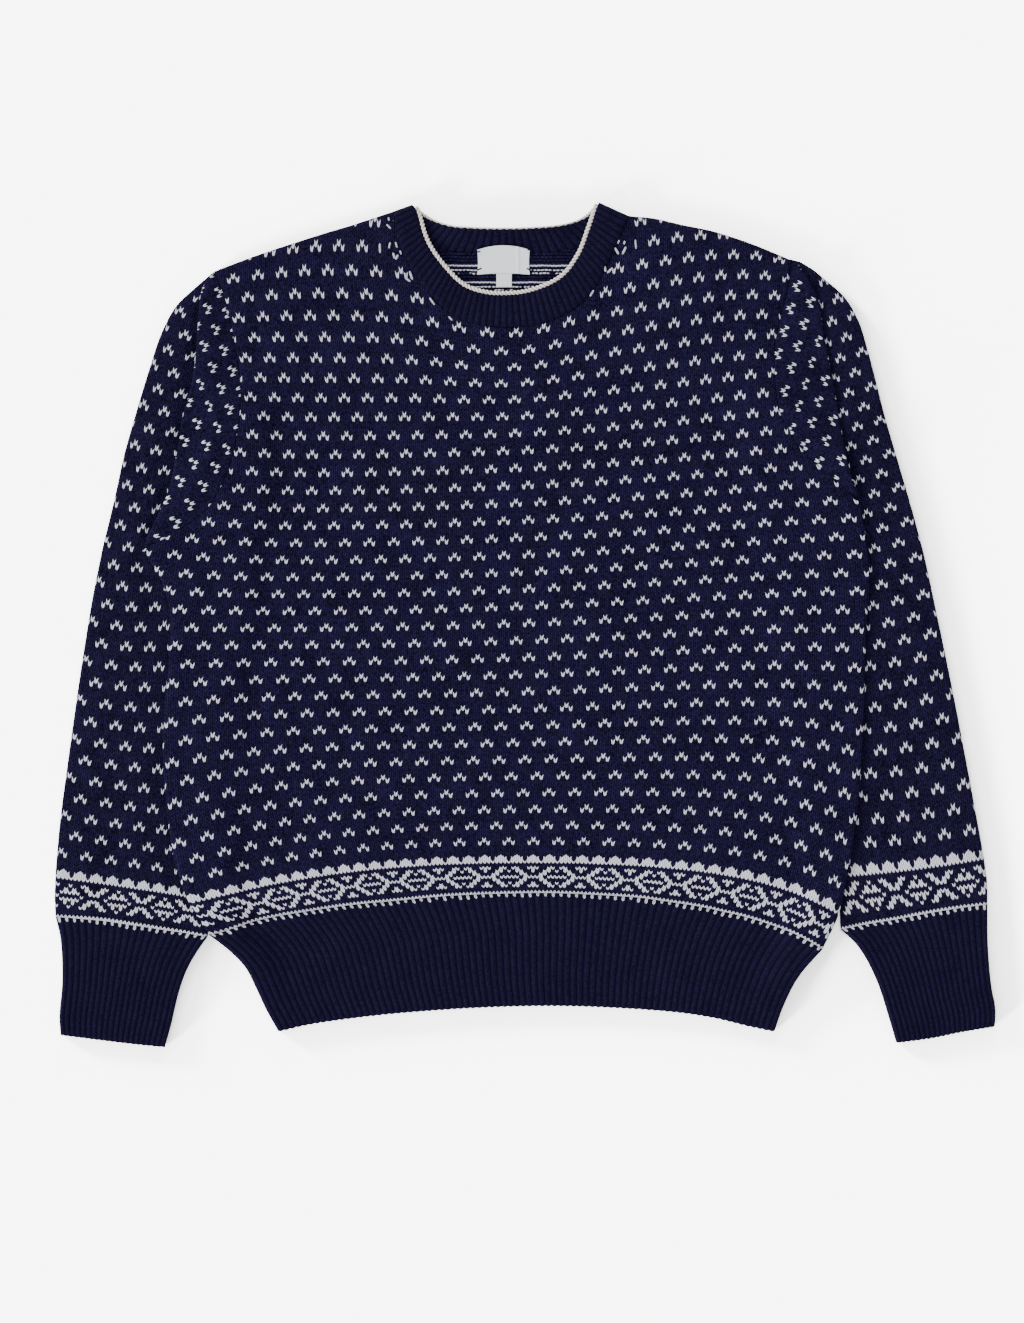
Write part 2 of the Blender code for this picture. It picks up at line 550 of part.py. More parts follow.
def build_cuff(name, edge, out, inner, rib):
    """Ribbed tube below a sleeve. Rings run over the top from the inner side to the outer one."""
    rows = 3
    start, end = np.array([inner[0], out[0]]), smooth(edge)[::-1]
    left, right = at_steps(smooth(inner), rows), at_steps(smooth(out), rows)
    share, ridge = ribbed(CUFF_RIBS)
    near = 0.006
    share = np.concatenate([[0.0, near], share[1:-1], [1 - near, 1.0]])
    ridge = np.concatenate([[0.0, 0.0], ridge[1:-1], [0.0, 0.0]])
    plan = patch(at_shares(start, share), at_shares(end, share), left, right)
    plan[0] += unit(plan[1] - plan[0]) * 1.5 * SEAM_GAP
    away = np.min([distance(plan, line) for line in (left, right)], 0)
    top = FOLD_START + 0.3 + (TWO_LAYERS - FOLD_START - 0.3 + 0.5 * ridge * RIB_HEIGHT) * turn(away / 4)
    top = top + 0.5 * ridge * RIB_HEIGHT * turn(away / 4)
    back = plan[:, [-2, -8, -18, 18, 8, 1]]
    low = np.array([0.3, 0, 0, 0, 0, 0.3]) + 0 * back[..., 0]
    outer = np.concatenate([np.dstack([plan, top]), np.dstack([back, low])], 1)
    first, last = outer[:, :1, :2], outer[:, plan.shape[1] - 1:plan.shape[1], :2]
    width = np.linalg.norm(last - first, axis=2)
    share = (((outer[..., :2] - first) * (last - first)).sum(2) / width ** 2).clip(0, 1)
    draw = KNIT / width
    moved = (draw + share * (1 - 2 * draw) - share)[..., None] * (last - first)
    level = np.where(np.arange(outer.shape[1]) < plan.shape[1], KNIT + 0.5, KNIT)
    level[[0, plan.shape[1] - 1]] = KNIT + 0.2
    inner_ring = np.dstack([outer[..., :2] + moved, level[None] + 0 * share])
    return tube(name, outer, inner_ring, rib)


# ======== neck ========

def neck_seam(neck):
    """The neck part of a panel's top boundary."""
    return top_line(neck)[SHOULDER_COLUMNS:-SHOULDER_COLUMNS]


def build_neckband(rib):
    seam = neck_seam(NECK_FRONT)
    share, ridge = ribbed(NECK_RIBS)
    outer = at_shares(seam, share)
    inner = at_shares(smooth(BAND_FRONT_EDGE), share)
    rows = 3
    left = outer[0] + (inner[0] - outer[0]) * np.linspace(0, 1, rows + 1)[:, None]
    right = outer[-1] + (inner[-1] - outer[-1]) * np.linspace(0, 1, rows + 1)[:, None]
    plan = patch(outer, inner, left, right)
    gap = unit(plan[1] - plan[0]) * SEAM_GAP
    plan[0] += gap
    away = np.min([distance(plan, line) for line in (left, right)], 0)
    fall = turn(away / 7)
    crown = np.array([0.0, 0.9, 0.9, -0.2])[:, None]
    end = np.array([0.7, 1, 1, 0.9])[:, None]
    upper = 3.6 + (4.0 + crown + ridge * RIB_HEIGHT * end) * fall
    lower = 3.0 + 2.0 * ease(away / 20)
    panel("neckband_front", plan, upper, lower, rib)

    share, ridge = ribbed(BACK_NECK_RIBS)
    outer = at_shares(neck_seam(NECK_BACK), share)
    inner = at_shares(smooth(BAND_BACK_EDGE), share)
    left = outer[0] + (inner[0] - outer[0]) * np.linspace(0, 1, rows + 1)[:, None]
    right = outer[-1] + (inner[-1] - outer[-1]) * np.linspace(0, 1, rows + 1)[:, None]
    plan = patch(outer, inner, left, right)
    plan[0] += unit(plan[1] - plan[0]) * SEAM_GAP
    up = np.linspace(0, 1, rows + 1)[:, None] ** 1.4
    rise = BACK_BAND_RISE * up * ease(np.minimum(share, 1 - share) / 0.3)
    lower = rise
    upper = lower + RIB_WALL - 0.5 + ridge * RIB_HEIGHT * ease(np.minimum(share, 1 - share) / 0.12)
    panel("neckband_back", plan, upper, lower, rib)


def build_tipping(wool):
    """Contrast edge of the neckband: one closed cord round its free edge, front and back."""
    front = offset(smooth(BAND_FRONT_EDGE), TIPPING_RADIUS + SEAM_GAP)
    back = offset(smooth(BAND_BACK_EDGE), TIPPING_RADIUS + SEAM_GAP)
    front = at_shares(front, np.linspace(0.03, 0.978, 31))
    back = at_shares(back, np.linspace(0.975, 0.025, 21))
    u = np.linspace(0, 1, len(front))
    w = np.linspace(0, 1, len(back))
    low = TIPPING_RADIUS + 0.4
    front_z = 3 * low + 1.2 * ease(np.minimum(u, 1 - u) / 0.08)
    back_z = low + BACK_BAND_RISE * ease(np.minimum(w, 1 - w) / 0.3)
    tips = []
    for end, before in ((-1, -2), (0, 1)):          # the cord doubles back round each tip
        heading = unit(unit(front[end] - front[before]) + unit(back[-1 - end] - back[-1 - before]))
        angle = np.radians([45, 90, 135])[::1 if end else -1, None]
        middle = (front[end] + back[-1 - end]) / 2
        tips.append(np.hstack([middle + low * np.sin(angle) * heading, 2 * low + low * np.cos(angle)]))
    path = np.vstack([np.column_stack([front, front_z]), tips[0],
                      np.column_stack([back, back_z]), tips[1]])
    ahead = unit(np.roll(path, -1, 0) - np.roll(path, 1, 0))
    side = np.cross(ahead, [0, 0, 1])
    for k in range(1, len(path)):                   # carried along, so that the ring never twists
        side[k] = side[k - 1] - ahead[k] * (side[k - 1] @ ahead[k])
    side = unit(side)
    up = np.cross(side, ahead)
    sides = 6
    angle = np.arange(sides) * 2 * np.pi / sides
    ring = path[:, None] + TIPPING_RADIUS * (np.cos(angle)[None, :, None] * side[:, None]
                                             + np.sin(angle)[None, :, None] * up[:, None])
    number = np.arange(len(path) * sides).reshape(len(path), sides)
    start = int(np.argmin(np.linalg.norm(ring[0] - ring[-1][0], axis=1)))
    number = np.vstack([number, np.roll(number[0], -start)])
    number = np.hstack([number, number[:, :1]])
    faces = np.concatenate([strip(a, b) for a, b in zip(number, number[1:])])
    solid("neck_tipping", ring.reshape(-1, 3), faces, wool)


def offset(line, amount):
    """A line moved to its left by amount."""
    ahead = unit(np.gradient(line, axis=0))
    return line + amount * np.column_stack([-ahead[:, 1], ahead[:, 0]])


def build_label(name, centre, size, arch, finish):
    """Woven label lying on the back's inside; its bowed top edge climbs the band's foot."""
    u = np.linspace(-1, 1, 7)
    v = np.array([0, 0.35, 0.65, 0.82, 1])
    x = centre[0] + u[None] * size[0] / 2 + 0 * v[:, None]
    y = centre[1] - size[1] / 2 + v[:, None] * (size[1] + arch * (1 - u[None] ** 2))
    z = KNIT + 0.3 + 0.36 * (y - LABEL_FOOT).clip(0)
    panel(name, np.dstack([x, y]), z + LABEL_THICKNESS, z, finish)


# ======== build ========

for old in list(bpy.data.objects):
    bpy.data.objects.remove(old)

knit_blue = material("stranded_knit", (0.012, 0.012, 0.042), 0.95)
rib_blue = material("navy_rib", (0.009, 0.009, 0.032), 0.95)
cream = material("cream_tipping", (0.8, 0.75, 0.68), 0.9)
satin = material("label_satin", (0.68, 0.69, 0.77), 0.5)

build_body(knit_blue)
build_hem(rib_blue)
left_lines, left_beside = sleeve_lines(side_left, HIDDEN_LEFT, HIDDEN_LEFT_LOW, armhole_left,
                                       CAP_FOLD_LEFT, SLEEVE_LEFT_OUT, SLEEVE_LEFT_OUT_LOW)
right_lines, right_beside = sleeve_lines(side_right, HIDDEN_RIGHT, HIDDEN_RIGHT_LOW, armhole_right,
                                         CAP_FOLD_RIGHT, SLEEVE_RIGHT_OUT, SLEEVE_RIGHT_OUT_LOW)
build_sleeve("sleeve_left", left_lines, left_beside, ARMHOLE_ROWS, knit_blue)
build_sleeve("sleeve_right", right_lines, right_beside, ARMHOLE_ROWS, knit_blue)
build_cuff("cuff_left", CUFF_LEFT_EDGE, CUFF_LEFT_OUT, CUFF_LEFT_IN, rib_blue)
build_cuff("cuff_right", CUFF_RIGHT_EDGE, CUFF_RIGHT_OUT, CUFF_RIGHT_IN, rib_blue)
build_neckband(rib_blue)
build_tipping(cream)
build_label("neck_label", LABEL_AT, LABEL_SIZE, LABEL_ARCH, satin)
build_label("size_tab", TAB_AT, TAB_SIZE, 0.0, satin)
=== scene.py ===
# Crewneck sweater of stranded wool, laid flat with its front up and its sides on its sleeves.
# Outlines and heights are in millimetres, x across and y up the garment, z from the table.
import bpy
import math
import numpy as np
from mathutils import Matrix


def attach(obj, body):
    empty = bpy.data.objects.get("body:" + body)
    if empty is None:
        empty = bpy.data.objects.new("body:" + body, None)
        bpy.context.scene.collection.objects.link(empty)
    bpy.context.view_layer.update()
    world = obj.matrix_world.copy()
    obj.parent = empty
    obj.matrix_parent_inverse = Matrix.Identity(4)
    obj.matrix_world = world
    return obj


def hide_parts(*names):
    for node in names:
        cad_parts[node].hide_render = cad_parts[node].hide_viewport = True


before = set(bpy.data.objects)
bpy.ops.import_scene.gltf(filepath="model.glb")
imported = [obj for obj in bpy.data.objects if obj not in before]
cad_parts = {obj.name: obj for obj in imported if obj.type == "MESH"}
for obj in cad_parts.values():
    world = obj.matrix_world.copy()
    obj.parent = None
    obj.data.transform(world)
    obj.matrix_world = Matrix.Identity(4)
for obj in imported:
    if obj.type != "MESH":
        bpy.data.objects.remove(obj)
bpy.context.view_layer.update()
print("frame loaded")

# ---------- what the whole garment shares ----------
cloth = {
    "knit": 2.6, "layerGap": 0.6, "foldStart": 2.9, "foldRadius": 5.0, "tableRadius": 2.0,
    "bodyLoft": 2.2, "loftReach": 30.0, "overlapLift": 6.2, "liftMargin": 15.0, "liftRamp": 26.0,
    "middle": (-0.9, 0.2), "course": 2.75,
}
twoLayers = 2 * cloth["knit"] + cloth["layerGap"]

outline = {
    "sideLeft": [(-321.7, 62.2), (-311.6, 47.0), (-302.4, 27.7), (-298.2, 2.5), (-299.9, -31.9), (-304.5, -96.0),
                 (-302.4, -141.0), (-297.0, -188.0), (-285.0, -228.0), (-266.3, -259.5)],
    "sideRight": [(281.0, 100.8), (285.5, 70.0), (288.8, 45.0), (285.5, 0.0), (283.9, -53.8), (281.0, -125.0),
                  (274.5, -182.0), (262.0, -243.0), (248.6, -272.0)],
    "armholeLeft": [(-262.1, 297.4), (-252.8, 274.7), (-243.6, 231.0), (-239.4, 195.7), (-241.1, 163.8),
                    (-249.5, 129.4), (-266.3, 98.0), (-290.6, 79.5), (-321.7, 62.2)],
    "armholeRight": [(221.8, 307.4), (220.1, 283.1), (212.5, 252.8), (208.3, 228.5), (208.6, 202.4), (212.5, 178.9),
                     (221.8, 159.6), (237.7, 139.4), (256.2, 123.5), (281.0, 100.8)],
    "shoulderLeft": [(-262.1, 297.4), (-230.2, 309.6), (-175.6, 327.6), (-144.5, 337.0), (-111.7, 347.8)],
    "shoulderRight": [(86.5, 344.0), (108.4, 341.9), (130.2, 336.8), (157.9, 331.0), (190.0, 320.5), (221.8, 307.4)],
    "neckFront": [(-111.7, 347.8), (-103.3, 312.5), (-82.0, 278.5), (-63.8, 260.8), (-45.0, 253.0), (-25.2, 249.8),
                  (0.0, 250.3), (20.0, 254.5), (42.0, 265.8), (57.0, 281.0), (72.2, 310.0), (86.5, 344.0)],
    "neckBack": [(-111.7, 347.8), (-102.0, 331.0), (-85.0, 319.0), (-59.6, 314.2), (-16.0, 312.5), (28.6, 314.2),
                 (53.8, 323.0), (72.2, 333.0), (86.5, 344.0)],
    "bandFront": [(-96.0, 353.5), (-93.0, 350.0), (-83.5, 321.5), (-70.0, 301.5), (-52.5, 284.5), (-34.5, 278.3),
                  (-18.5, 277.2), (3.5, 279.8), (29.8, 291.6), (44.8, 310.8), (53.4, 332.8), (60.0, 352.0),
                  (61.2, 355.6)],
    "bandBack": [(-94.0, 350.5), (-80.6, 341.0), (-63.0, 334.3), (-40.0, 332.2), (-19.3, 331.8), (5.0, 332.4),
                 (30.2, 335.0), (48.0, 341.5), (60.6, 352.5)],
    "hemSeam": [(-266.3, -259.5), (-256.0, -257.8), (-243.0, -253.5), (-228.3, -248.8), (-205.8, -243.9),
                (-183.1, -240.2), (-146.8, -234.9), (-109.3, -231.4), (-65.7, -227.3), (-33.7, -225.8), (20.8, -224.9),
                (56.9, -226.3), (94.1, -228.7), (117.3, -231.8), (149.4, -236.9), (165.0, -240.4), (183.9, -244.8),
                (202.2, -250.4), (222.3, -257.7), (234.7, -263.6), (248.6, -272.0)],
    "hemLeft": [(-266.3, -259.5), (-248.2, -274.0), (-235.4, -288.0), (-227.3, -304.0), (-219.2, -322.0),
                (-208.5, -341.5)],
    "hemRight": [(248.6, -272.0), (233.5, -289.0), (226.0, -300.0), (220.5, -311.0), (215.6, -322.5),
                 (209.0, -341.5)],
    "hemEdge": [(-208.5, -341.5), (-180.6, -335.2), (-138.6, -329.3), (-105.8, -325.9), (-47.0, -321.7),
                (13.4, -319.8), (64.7, -320.9), (125.2, -325.1), (158.8, -330.1), (185.0, -336.5), (209.0, -341.5)],
    "outLeft": [(-269.4, 291.4), (-278.5, 283.5), (-294.5, 268.0), (-306.5, 246.1), (-316.0, 218.4),
                (-328.0, 178.9), (-338.2, 142.8), (-346.5, 105.0), (-356.5, 64.0)],
    "outLowLeft": [(-356.5, 64.0), (-364.6, 23.5), (-371.0, -15.1), (-377.0, -54.6), (-386.4, -121.8),
                   (-391.4, -159.6), (-395.6, -205.8), (-396.5, -231.0), (-395.8, -245.3)],
    "outRight": [(230.5, 305.6), (241.0, 299.2), (254.5, 288.1), (268.5, 275.0), (279.5, 256.2), (287.5, 231.0),
                 (294.8, 203.3), (301.6, 176.4), (312.5, 139.0), (324.5, 98.0)],
    "outLowRight": [(324.5, 98.0), (334.8, 58.8), (345.2, 10.9), (352.8, -25.2), (360.4, -63.0), (369.6, -110.9),
                    (377.2, -152.0), (383.9, -189.0), (387.9, -216.7), (388.1, -234.8)],
    "capLeft": [(-265.8, 294.4), (-272.5, 281.4), (-276.0, 247.8), (-278.0, 222.6), (-282.2, 197.4),
                (-288.1, 175.6), (-293.2, 146.2), (-302.0, 108.0), (-322.7, 62.8)],
    "capRight": [(226.2, 306.6), (238.0, 288.6), (246.8, 268.8), (249.5, 247.8), (256.2, 214.2), (261.7, 183.1),
                 (265.8, 156.2), (271.5, 128.5), (282.0, 101.4)],
    "hiddenLeft": [(-241.1, 163.8), (-240.2, 130.2), (-244.4, 88.2), (-252.0, 40.0)],
    "hiddenLowLeft": [(-252.0, 40.0), (-259.6, -21.0), (-263.8, -79.8), (-266.3, -138.6), (-267.4, -197.4),
                      (-267.6, -262.0)],
    "hiddenRight": [(208.6, 202.4), (210.5, 155.4), (217.4, 105.0), (226.6, 62.0)],
    "hiddenLowRight": [(226.6, 62.0), (237.9, -12.6), (248.0, -79.8), (256.4, -147.0), (262.4, -205.8),
                       (264.4, -256.0)],
    "cuffOutLeft": [(-395.8, -245.3), (-391.6, -264.0), (-390.2, -299.9), (-392.6, -330.0), (-391.5, -345.0)],
    "cuffSeamLeft": [(-267.6, -262.0), (-294.0, -257.3), (-327.3, -252.0), (-353.0, -248.0), (-371.8, -246.4),
                     (-395.8, -245.3)],
    "cuffSeamRight": [(264.4, -256.0), (285.8, -251.2), (311.2, -246.8), (336.7, -241.7), (364.0, -237.4),
                      (388.1, -234.8)],
    "cuffInLeft": [(-267.6, -262.0), (-275.5, -273.0), (-284.8, -289.0), (-292.3, -310.0), (-298.2, -335.2),
                   (-303.8, -355.2)],
    "cuffEdgeLeft": [(-391.5, -345.0), (-350.3, -350.3), (-325.1, -353.2), (-303.8, -355.2)],
    "cuffOutRight": [(388.1, -234.8), (388.6, -270.0), (391.6, -305.0), (394.9, -322.0), (394.4, -337.0)],
    "cuffInRight": [(264.4, -256.0), (277.2, -267.9), (286.4, -281.4), (296.5, -303.2), (305.0, -330.0),
                    (311.2, -351.0)],
    "cuffEdgeRight": [(394.4, -337.0), (366.2, -341.9), (341.9, -346.9), (311.2, -351.0)],
}

# soft folds: x, y, direction in degrees, length, width, height
bodyFolds = [
    (-20.0, 26.0, -2.0, 300.0, 26.0, 1.3), (-150.0, 12.0, 4.0, 120.0, 22.0, -1.2),
    (150.0, 60.0, 8.0, 170.0, 30.0, 1.0),
    (-62.0, -176.0, 35.0, 55.0, 20.0, -1.4), (120.0, -150.0, -30.0, 90.0, 26.0, 1.1),
    (-170.0, -170.0, 62.0, 80.0, 22.0, 1.0), (0.0, 205.0, 0.0, 120.0, 24.0, 1.0),
    (-180.0, 120.0, 52.0, 90.0, 22.0, -1.0), (165.0, 150.0, -48.0, 80.0, 22.0, -1.0),
]
sleeveFolds = [
    (-330.0, 40.0, 40.0, 40.0, 16.0, 1.2), (-350.0, -60.0, -20.0, 45.0, 18.0, 0.9),
    (-345.0, -150.0, 15.0, 50.0, 20.0, -0.8),
    (310.0, 60.0, -38.0, 40.0, 16.0, 1.2), (325.0, -40.0, 18.0, 45.0, 18.0, 0.9),
    (340.0, -140.0, -12.0, 50.0, 20.0, -0.8),
]

# marks of the pattern, read one by one: x, y, mark column and mark row (a column is 3 stitches, a row is
# 5 courses). Points on the seams give rows alone.
latticePoints = {
    "body": {"middle": (-20, 0), "size": (250, 250), "most": (5, 6, 7), "first": -12, "bell": (-18, 255, 55), "marks": [
        (-196, 315, -17, 21), (-157, 321, -13, 21), (-138, 319, -11, 21), (108, 323, 11, 21), (127, 326, 13, 21),
        (145, 327, 15, 21), (-246, 293, -22, 20), (-206, 296, -18, 20), (-165, 300, -14, 20), (-127, 297, -10, 20),
        (137, 309, 14, 20), (175, 312, 18, 20), (194, 312, 20, 20), (-233, 275, -21, 19), (-194, 278, -17, 19),
        (-154, 280, -13, 19), (-113, 275, -9, 19), (-100, 256, -8, 18), (126, 291, 13, 19), (164, 294, 17, 19),
        (201, 294, 21, 19), (-221, 258, -20, 18), (-191, 243, -17, 17), (-78, 255, -6, 18), (-56, 251, -4, 18),
        (-33, 245, -2, 18), (-9, 245, 0, 18), (14, 248, 2, 18), (37, 257, 4, 18), (135, 275, 14, 18),
        (172, 277, 18, 18), (208, 276, 22, 18), (-44, 233, -3, 17), (-21, 231, -1, 17), (3, 232, 1, 17),
        (25, 237, 3, 17), (65, 245, 7, 17), (105, 251, 11, 17), (-216, 225, -20, 16), (151, 239, 16, 16),
        (-144, 209, -13, 15), (-64, 205, -5, 15), (44, 209, 5, 15), (-211, 193, -20, 14), (-93, 191, -8, 14),
        (12, 190, 2, 14), (123, 187, 13, 13), (197, 195, 21, 13), (-227, 160, -22, 12), (-10, 160, 0, 12),
        (210, 179, 22, 12), (-140, 144, -13, 11), (104, 154, 11, 11), (-191, 97, -18, 8), (-91, 130, -8, 10),
        (184, 132, 19, 9), (-231, 98, -22, 8), (-50, 101, -4, 8), (32, 105, 4, 8), (135, 111, 14, 8),
        (240, 118, 24, 8), (270, 91, 26, 6), (-161, 83, -15, 7), (115, 80, 12, 6), (223, 86, 22, 6),
        (-266, 42, -24, 4), (-188, 27, -17, 3), (-91, 42, -8, 4), (13, 17, 2, 2), (-113, 14, -10, 2),
        (-28, 15, -2, 2), (56, 20, 6, 2), (140, 24, 14, 2), (253, 28, 24, 2), (217, 12, 21, 1), (-292, -16, -26, 0),
        (-200, -14, -18, 0), (121, -7, 12, 0), (-295, -49, -26, -2), (-138, -45, -12, -2), (-52, -43, -4, -2),
        (275, -35, 26, -2), (-239, -63, -21, -3), (-194, -60, -17, -3), (-85, -57, -7, -3), (34, -69, 4, -4),
        (133, -50, 13, -3), (241, -51, 23, -3), (77, -67, 8, -4), (0, -86, 1, -5), (218, -81, 21, -5),
        (-297, -116, -26, -6), (-77, -101, -6, -6), (141, -94, 14, -6), (-296, -148, -26, -8),
        (-205, -135, -18, -8), (-140, -128, -12, -8), (248, -134, 24, -8), (-238, -155, -21, -9),
        (-100, -127, -8, -8), (-26, -142, -1, -9), (20, -140, 3, -9), (64, -139, 7, -9), (120, -125, 12, -8),
        (213, -146, 21, -9), (-283, -213, -26, -12), (-196, -194, -18, -12), (-156, -188, -14, -12),
        (-76, -183, -6, -12), (133, -185, 14, -12), (237, -205, 24, -12), (-248, -239, -24, -14.34),
        (-14, -211, 0, -14.34), (147, -221, 16, -14.34), (227, -242, 24, -14.34), (-228, -249, None, -15.45),
        (-147, -235, None, -15.45), (-66, -227, None, -15.45), (21, -225, None, -15.45), (94, -229, None, -15.45),
        (149, -237, None, -15.45), (202, -250, None, -15.45), (235, -264, None, -15.45)]},
    "armLeft": {"middle": (-330, 0), "size": (60, 180), "most": (2, 4, 4), "first": -11, "marks": [
        (-369, -195, -1, -11), (-373, -146, -2, -8), (-366, -80, -2, -4), (-328, -201, 3, -11), (-333, -151, 2, -8),
        (-324, -85, 2, -4), (-336, -18, 0, 0), (-340, 32, -1, 3), (-328, 99, -1, 7), (-328, 152, -2, 10),
        (-296, 162, 1, 11), (-302, 181, 0, 12), (-321, 186, -2, 12), (-290, 195, 1, 13), (-313, 219, -2, 14),
        (-283, 225, 1, 15), (-301, 232, -1, 15), (-288, 244, 0, 16), (-289, 263, -1, 17), (-272, 274, 0, 18),
        (-383, -218, -2, -12.7), (-342, -223, 2, -12.7), (-303, -230, 6, -12.7), (-391, -237, None, -14.06),
        (-333, -244, None, -14.06), (-294, -250, None, -14.06), (-391, -245, None, -14.54),
        (-333, -251, None, -14.54), (-294, -257, None, -14.54)]},
    "armRight": {"middle": (310, 0), "size": (60, 180), "most": (2, 4, 4), "first": -9, "marks": [
        (289, -182, -5, -9), (289, -123, -4, -6), (292, -68, -3, -3), (286, -3, -3, 1), (331, -180, -1, -9),
        (332, -118, 0, -6), (313, -64, -1, -3), (318, -12, 0, 0), (373, -173, 3, -9), (367, -133, 3, -7),
        (293, 64, -1, 5), (327, 58, 2, 4), (298, 127, 1, 9), (271, 152, -1, 11), (291, 155, 1, 11),
        (278, 168, 0, 12), (297, 172, 2, 12), (283, 183, 1, 13), (271, 196, 0, 14), (290, 201, 2, 14),
        (276, 213, 1, 15), (264, 225, 0, 16), (282, 230, 2, 16), (270, 243, 1, 17), (258, 254, 0, 18),
        (260, 275, 1, 19), (288, -217, -6, -10.78), (327, -213, -2, -10.78), (367, -206, 2, -10.78),
        (278, -243, None, -12.06), (308, -239, None, -12.06), (361, -231, None, -12.06), (278, -252, None, -12.54),
        (308, -247, None, -12.54), (361, -238, None, -12.54)]},
    "capLeft": {"middle": (-274, 189), "size": (42, 42), "most": (2, 2, 2), "first": 0, "marks": [
        (-269, 235, 0, 0), (-264, 219, 2, 0), (-256, 198, 4, 0), (-241, 164, 8, 0), (-273, 204, 3, -1),
        (-265, 185, 5, -1), (-250, 148, 9, -1), (-275, 169, 6, -2), (-267, 151, 8, -2), (-258, 132, 10, -2),
        (-284, 152, 7, -3), (-277, 135, 9, -3), (-269, 117, 11, -3), (-288, 119, 10, -4), (-282, 100, 12, -4),
        (-293, 88, 13, -5), (-306, 72, 14, -6), (-252, 231, 1, 1), (-245, 212, 3, 1), (-266, 264, -3, 1)]},
    "capRight": {"middle": (239, 189), "size": (42, 42), "most": (2, 2, 2), "first": 0, "marks": [
        (238, 272, -2, 0), (232, 255, 0, 0), (227, 235, 2, 0), (221, 215, 4, 0), (216, 196, 6, 0),
        (244, 239, 1, -1), (239, 221, 3, -1), (233, 202, 5, -1), (223, 164, 9, -1), (251, 205, 4, -2),
        (246, 188, 6, -2), (239, 169, 8, -2), (256, 171, 7, -3), (251, 154, 9, -3), (243, 137, 11, -3),
        (262, 138, 10, -4), (259, 123, 12, -4), (227, 282, -3, 1), (223, 265, -1, 1), (216, 247, 1, 1),
        (211, 228, 3, 1)]},
}


# ---------- lines and grids ----------
def spline(points, perSpan=12):
    # centripetal spline through the points, knots spaced by the root of the chord
    p = np.array(points, float)
    if len(p) < 3:
        return p
    ends = [2 * p[0] - p[1], *p, 2 * p[-1] - p[-2]]
    made = []
    for a, b, c, d in zip(ends, ends[1:], ends[2:], ends[3:]):
        t0 = 0.0
        t1 = t0 + np.sqrt(np.linalg.norm(b - a))
        t2 = t1 + np.sqrt(np.linalg.norm(c - b))
        t3 = t2 + np.sqrt(np.linalg.norm(d - c))
        t = np.linspace(t1, t2, perSpan, endpoint=False)[:, None]
        ab = (t1 - t) / (t1 - t0) * a + (t - t0) / (t1 - t0) * b
        bc = (t2 - t) / (t2 - t1) * b + (t - t1) / (t2 - t1) * c
        cd = (t3 - t) / (t3 - t2) * c + (t - t2) / (t3 - t2) * d
        abc = (t2 - t) / (t2 - t0) * ab + (t - t0) / (t2 - t0) * bc
        bcd = (t3 - t) / (t3 - t1) * bc + (t - t1) / (t3 - t1) * cd
        made.append((t2 - t) / (t2 - t1) * abc + (t - t1) / (t2 - t1) * bcd)
    return np.vstack([*made, p[-1:]])


def walked(line):
    # distance along a polyline at each of its points
    return np.concatenate([[0.0], np.cumsum(np.linalg.norm(np.diff(line, axis=0), axis=1))])


def atShares(line, shares):
    # points at these shares of a polyline's length
    along = walked(line)
    want = np.asarray(shares, float) * along[-1]
    return np.stack([np.interp(want, along, line[:, k]) for k in range(line.shape[1])], 1)


def atSteps(line, count, first=()):
    # count + 1 points along a line: the first at these distances, the rest evenly
    total = walked(line)[-1]
    near = np.array([0.0, *first]) / total
    return atShares(line, np.concatenate([near, np.linspace(near[-1], 1.0, count + 2 - len(near))[1:]]))


def ease(s):
    # 0 to 1 with level ends: 3 s^2 - 2 s^3
    s = np.clip(s, 0.0, 1.0)
    return s * s * (3 - 2 * s)


def turn(s):
    # quarter ellipse from 0 at a folded edge to 1 on the level: root of 1 - (1 - s)^2
    s = np.clip(s, 0.0, 1.0)
    return np.sqrt(1 - (1 - s) ** 2)


def unit(vector):
    return vector / np.maximum(np.linalg.norm(vector, axis=-1, keepdims=True), 1e-9)


def distance(points, line, block=20000):
    # shortest plan distance from each point to a polyline
    flat = points[..., :2].reshape(-1, 2)
    a, b = line[None, :-1, :2], line[None, 1:, :2]
    span = b - a
    long = np.maximum((span ** 2).sum(2), 1e-9)
    made = []
    for k in range(0, len(flat), block):
        p = flat[k:k + block, None]
        share = np.clip(((p - a) * span).sum(2) / long, 0, 1)
        made.append(np.linalg.norm(p - a - share[..., None] * span, axis=2).min(1))
    return np.concatenate(made).reshape(points.shape[:-1])


def inside(points, ring):
    # whether each point lies inside a closed outline, by crossings of a level ray
    flat = points[..., :2].reshape(-1, 2)
    x, y = flat[:, :1], flat[:, 1:]
    x1, y1 = ring[None, :, 0], ring[None, :, 1]
    x2, y2 = np.roll(x1, -1, 1), np.roll(y1, -1, 1)
    rise = np.where(np.abs(y2 - y1) < 1e-9, 1e-9, y2 - y1)
    hits = ((y1 > y) != (y2 > y)) & (x < (x2 - x1) * (y - y1) / rise + x1)
    return (hits.sum(1) % 2 == 1).reshape(points.shape[:-1])


def patch(bottom, top, left, right):
    # grid between four sides: the sum of both blends less that of the corners
    u = (walked(bottom) / walked(bottom)[-1] + walked(top) / walked(top)[-1]) / 2
    v = (walked(left) / walked(left)[-1] + walked(right) / walked(right)[-1]) / 2
    u, v = u[None, :, None], v[:, None, None]
    across = (1 - u) * left[:, None] + u * right[:, None]
    along = (1 - v) * bottom[None] + v * top[None]
    corners = (1 - u) * (1 - v) * bottom[0] + u * (1 - v) * bottom[-1] + (1 - u) * v * top[0] + u * v * top[-1]
    return across + along - corners


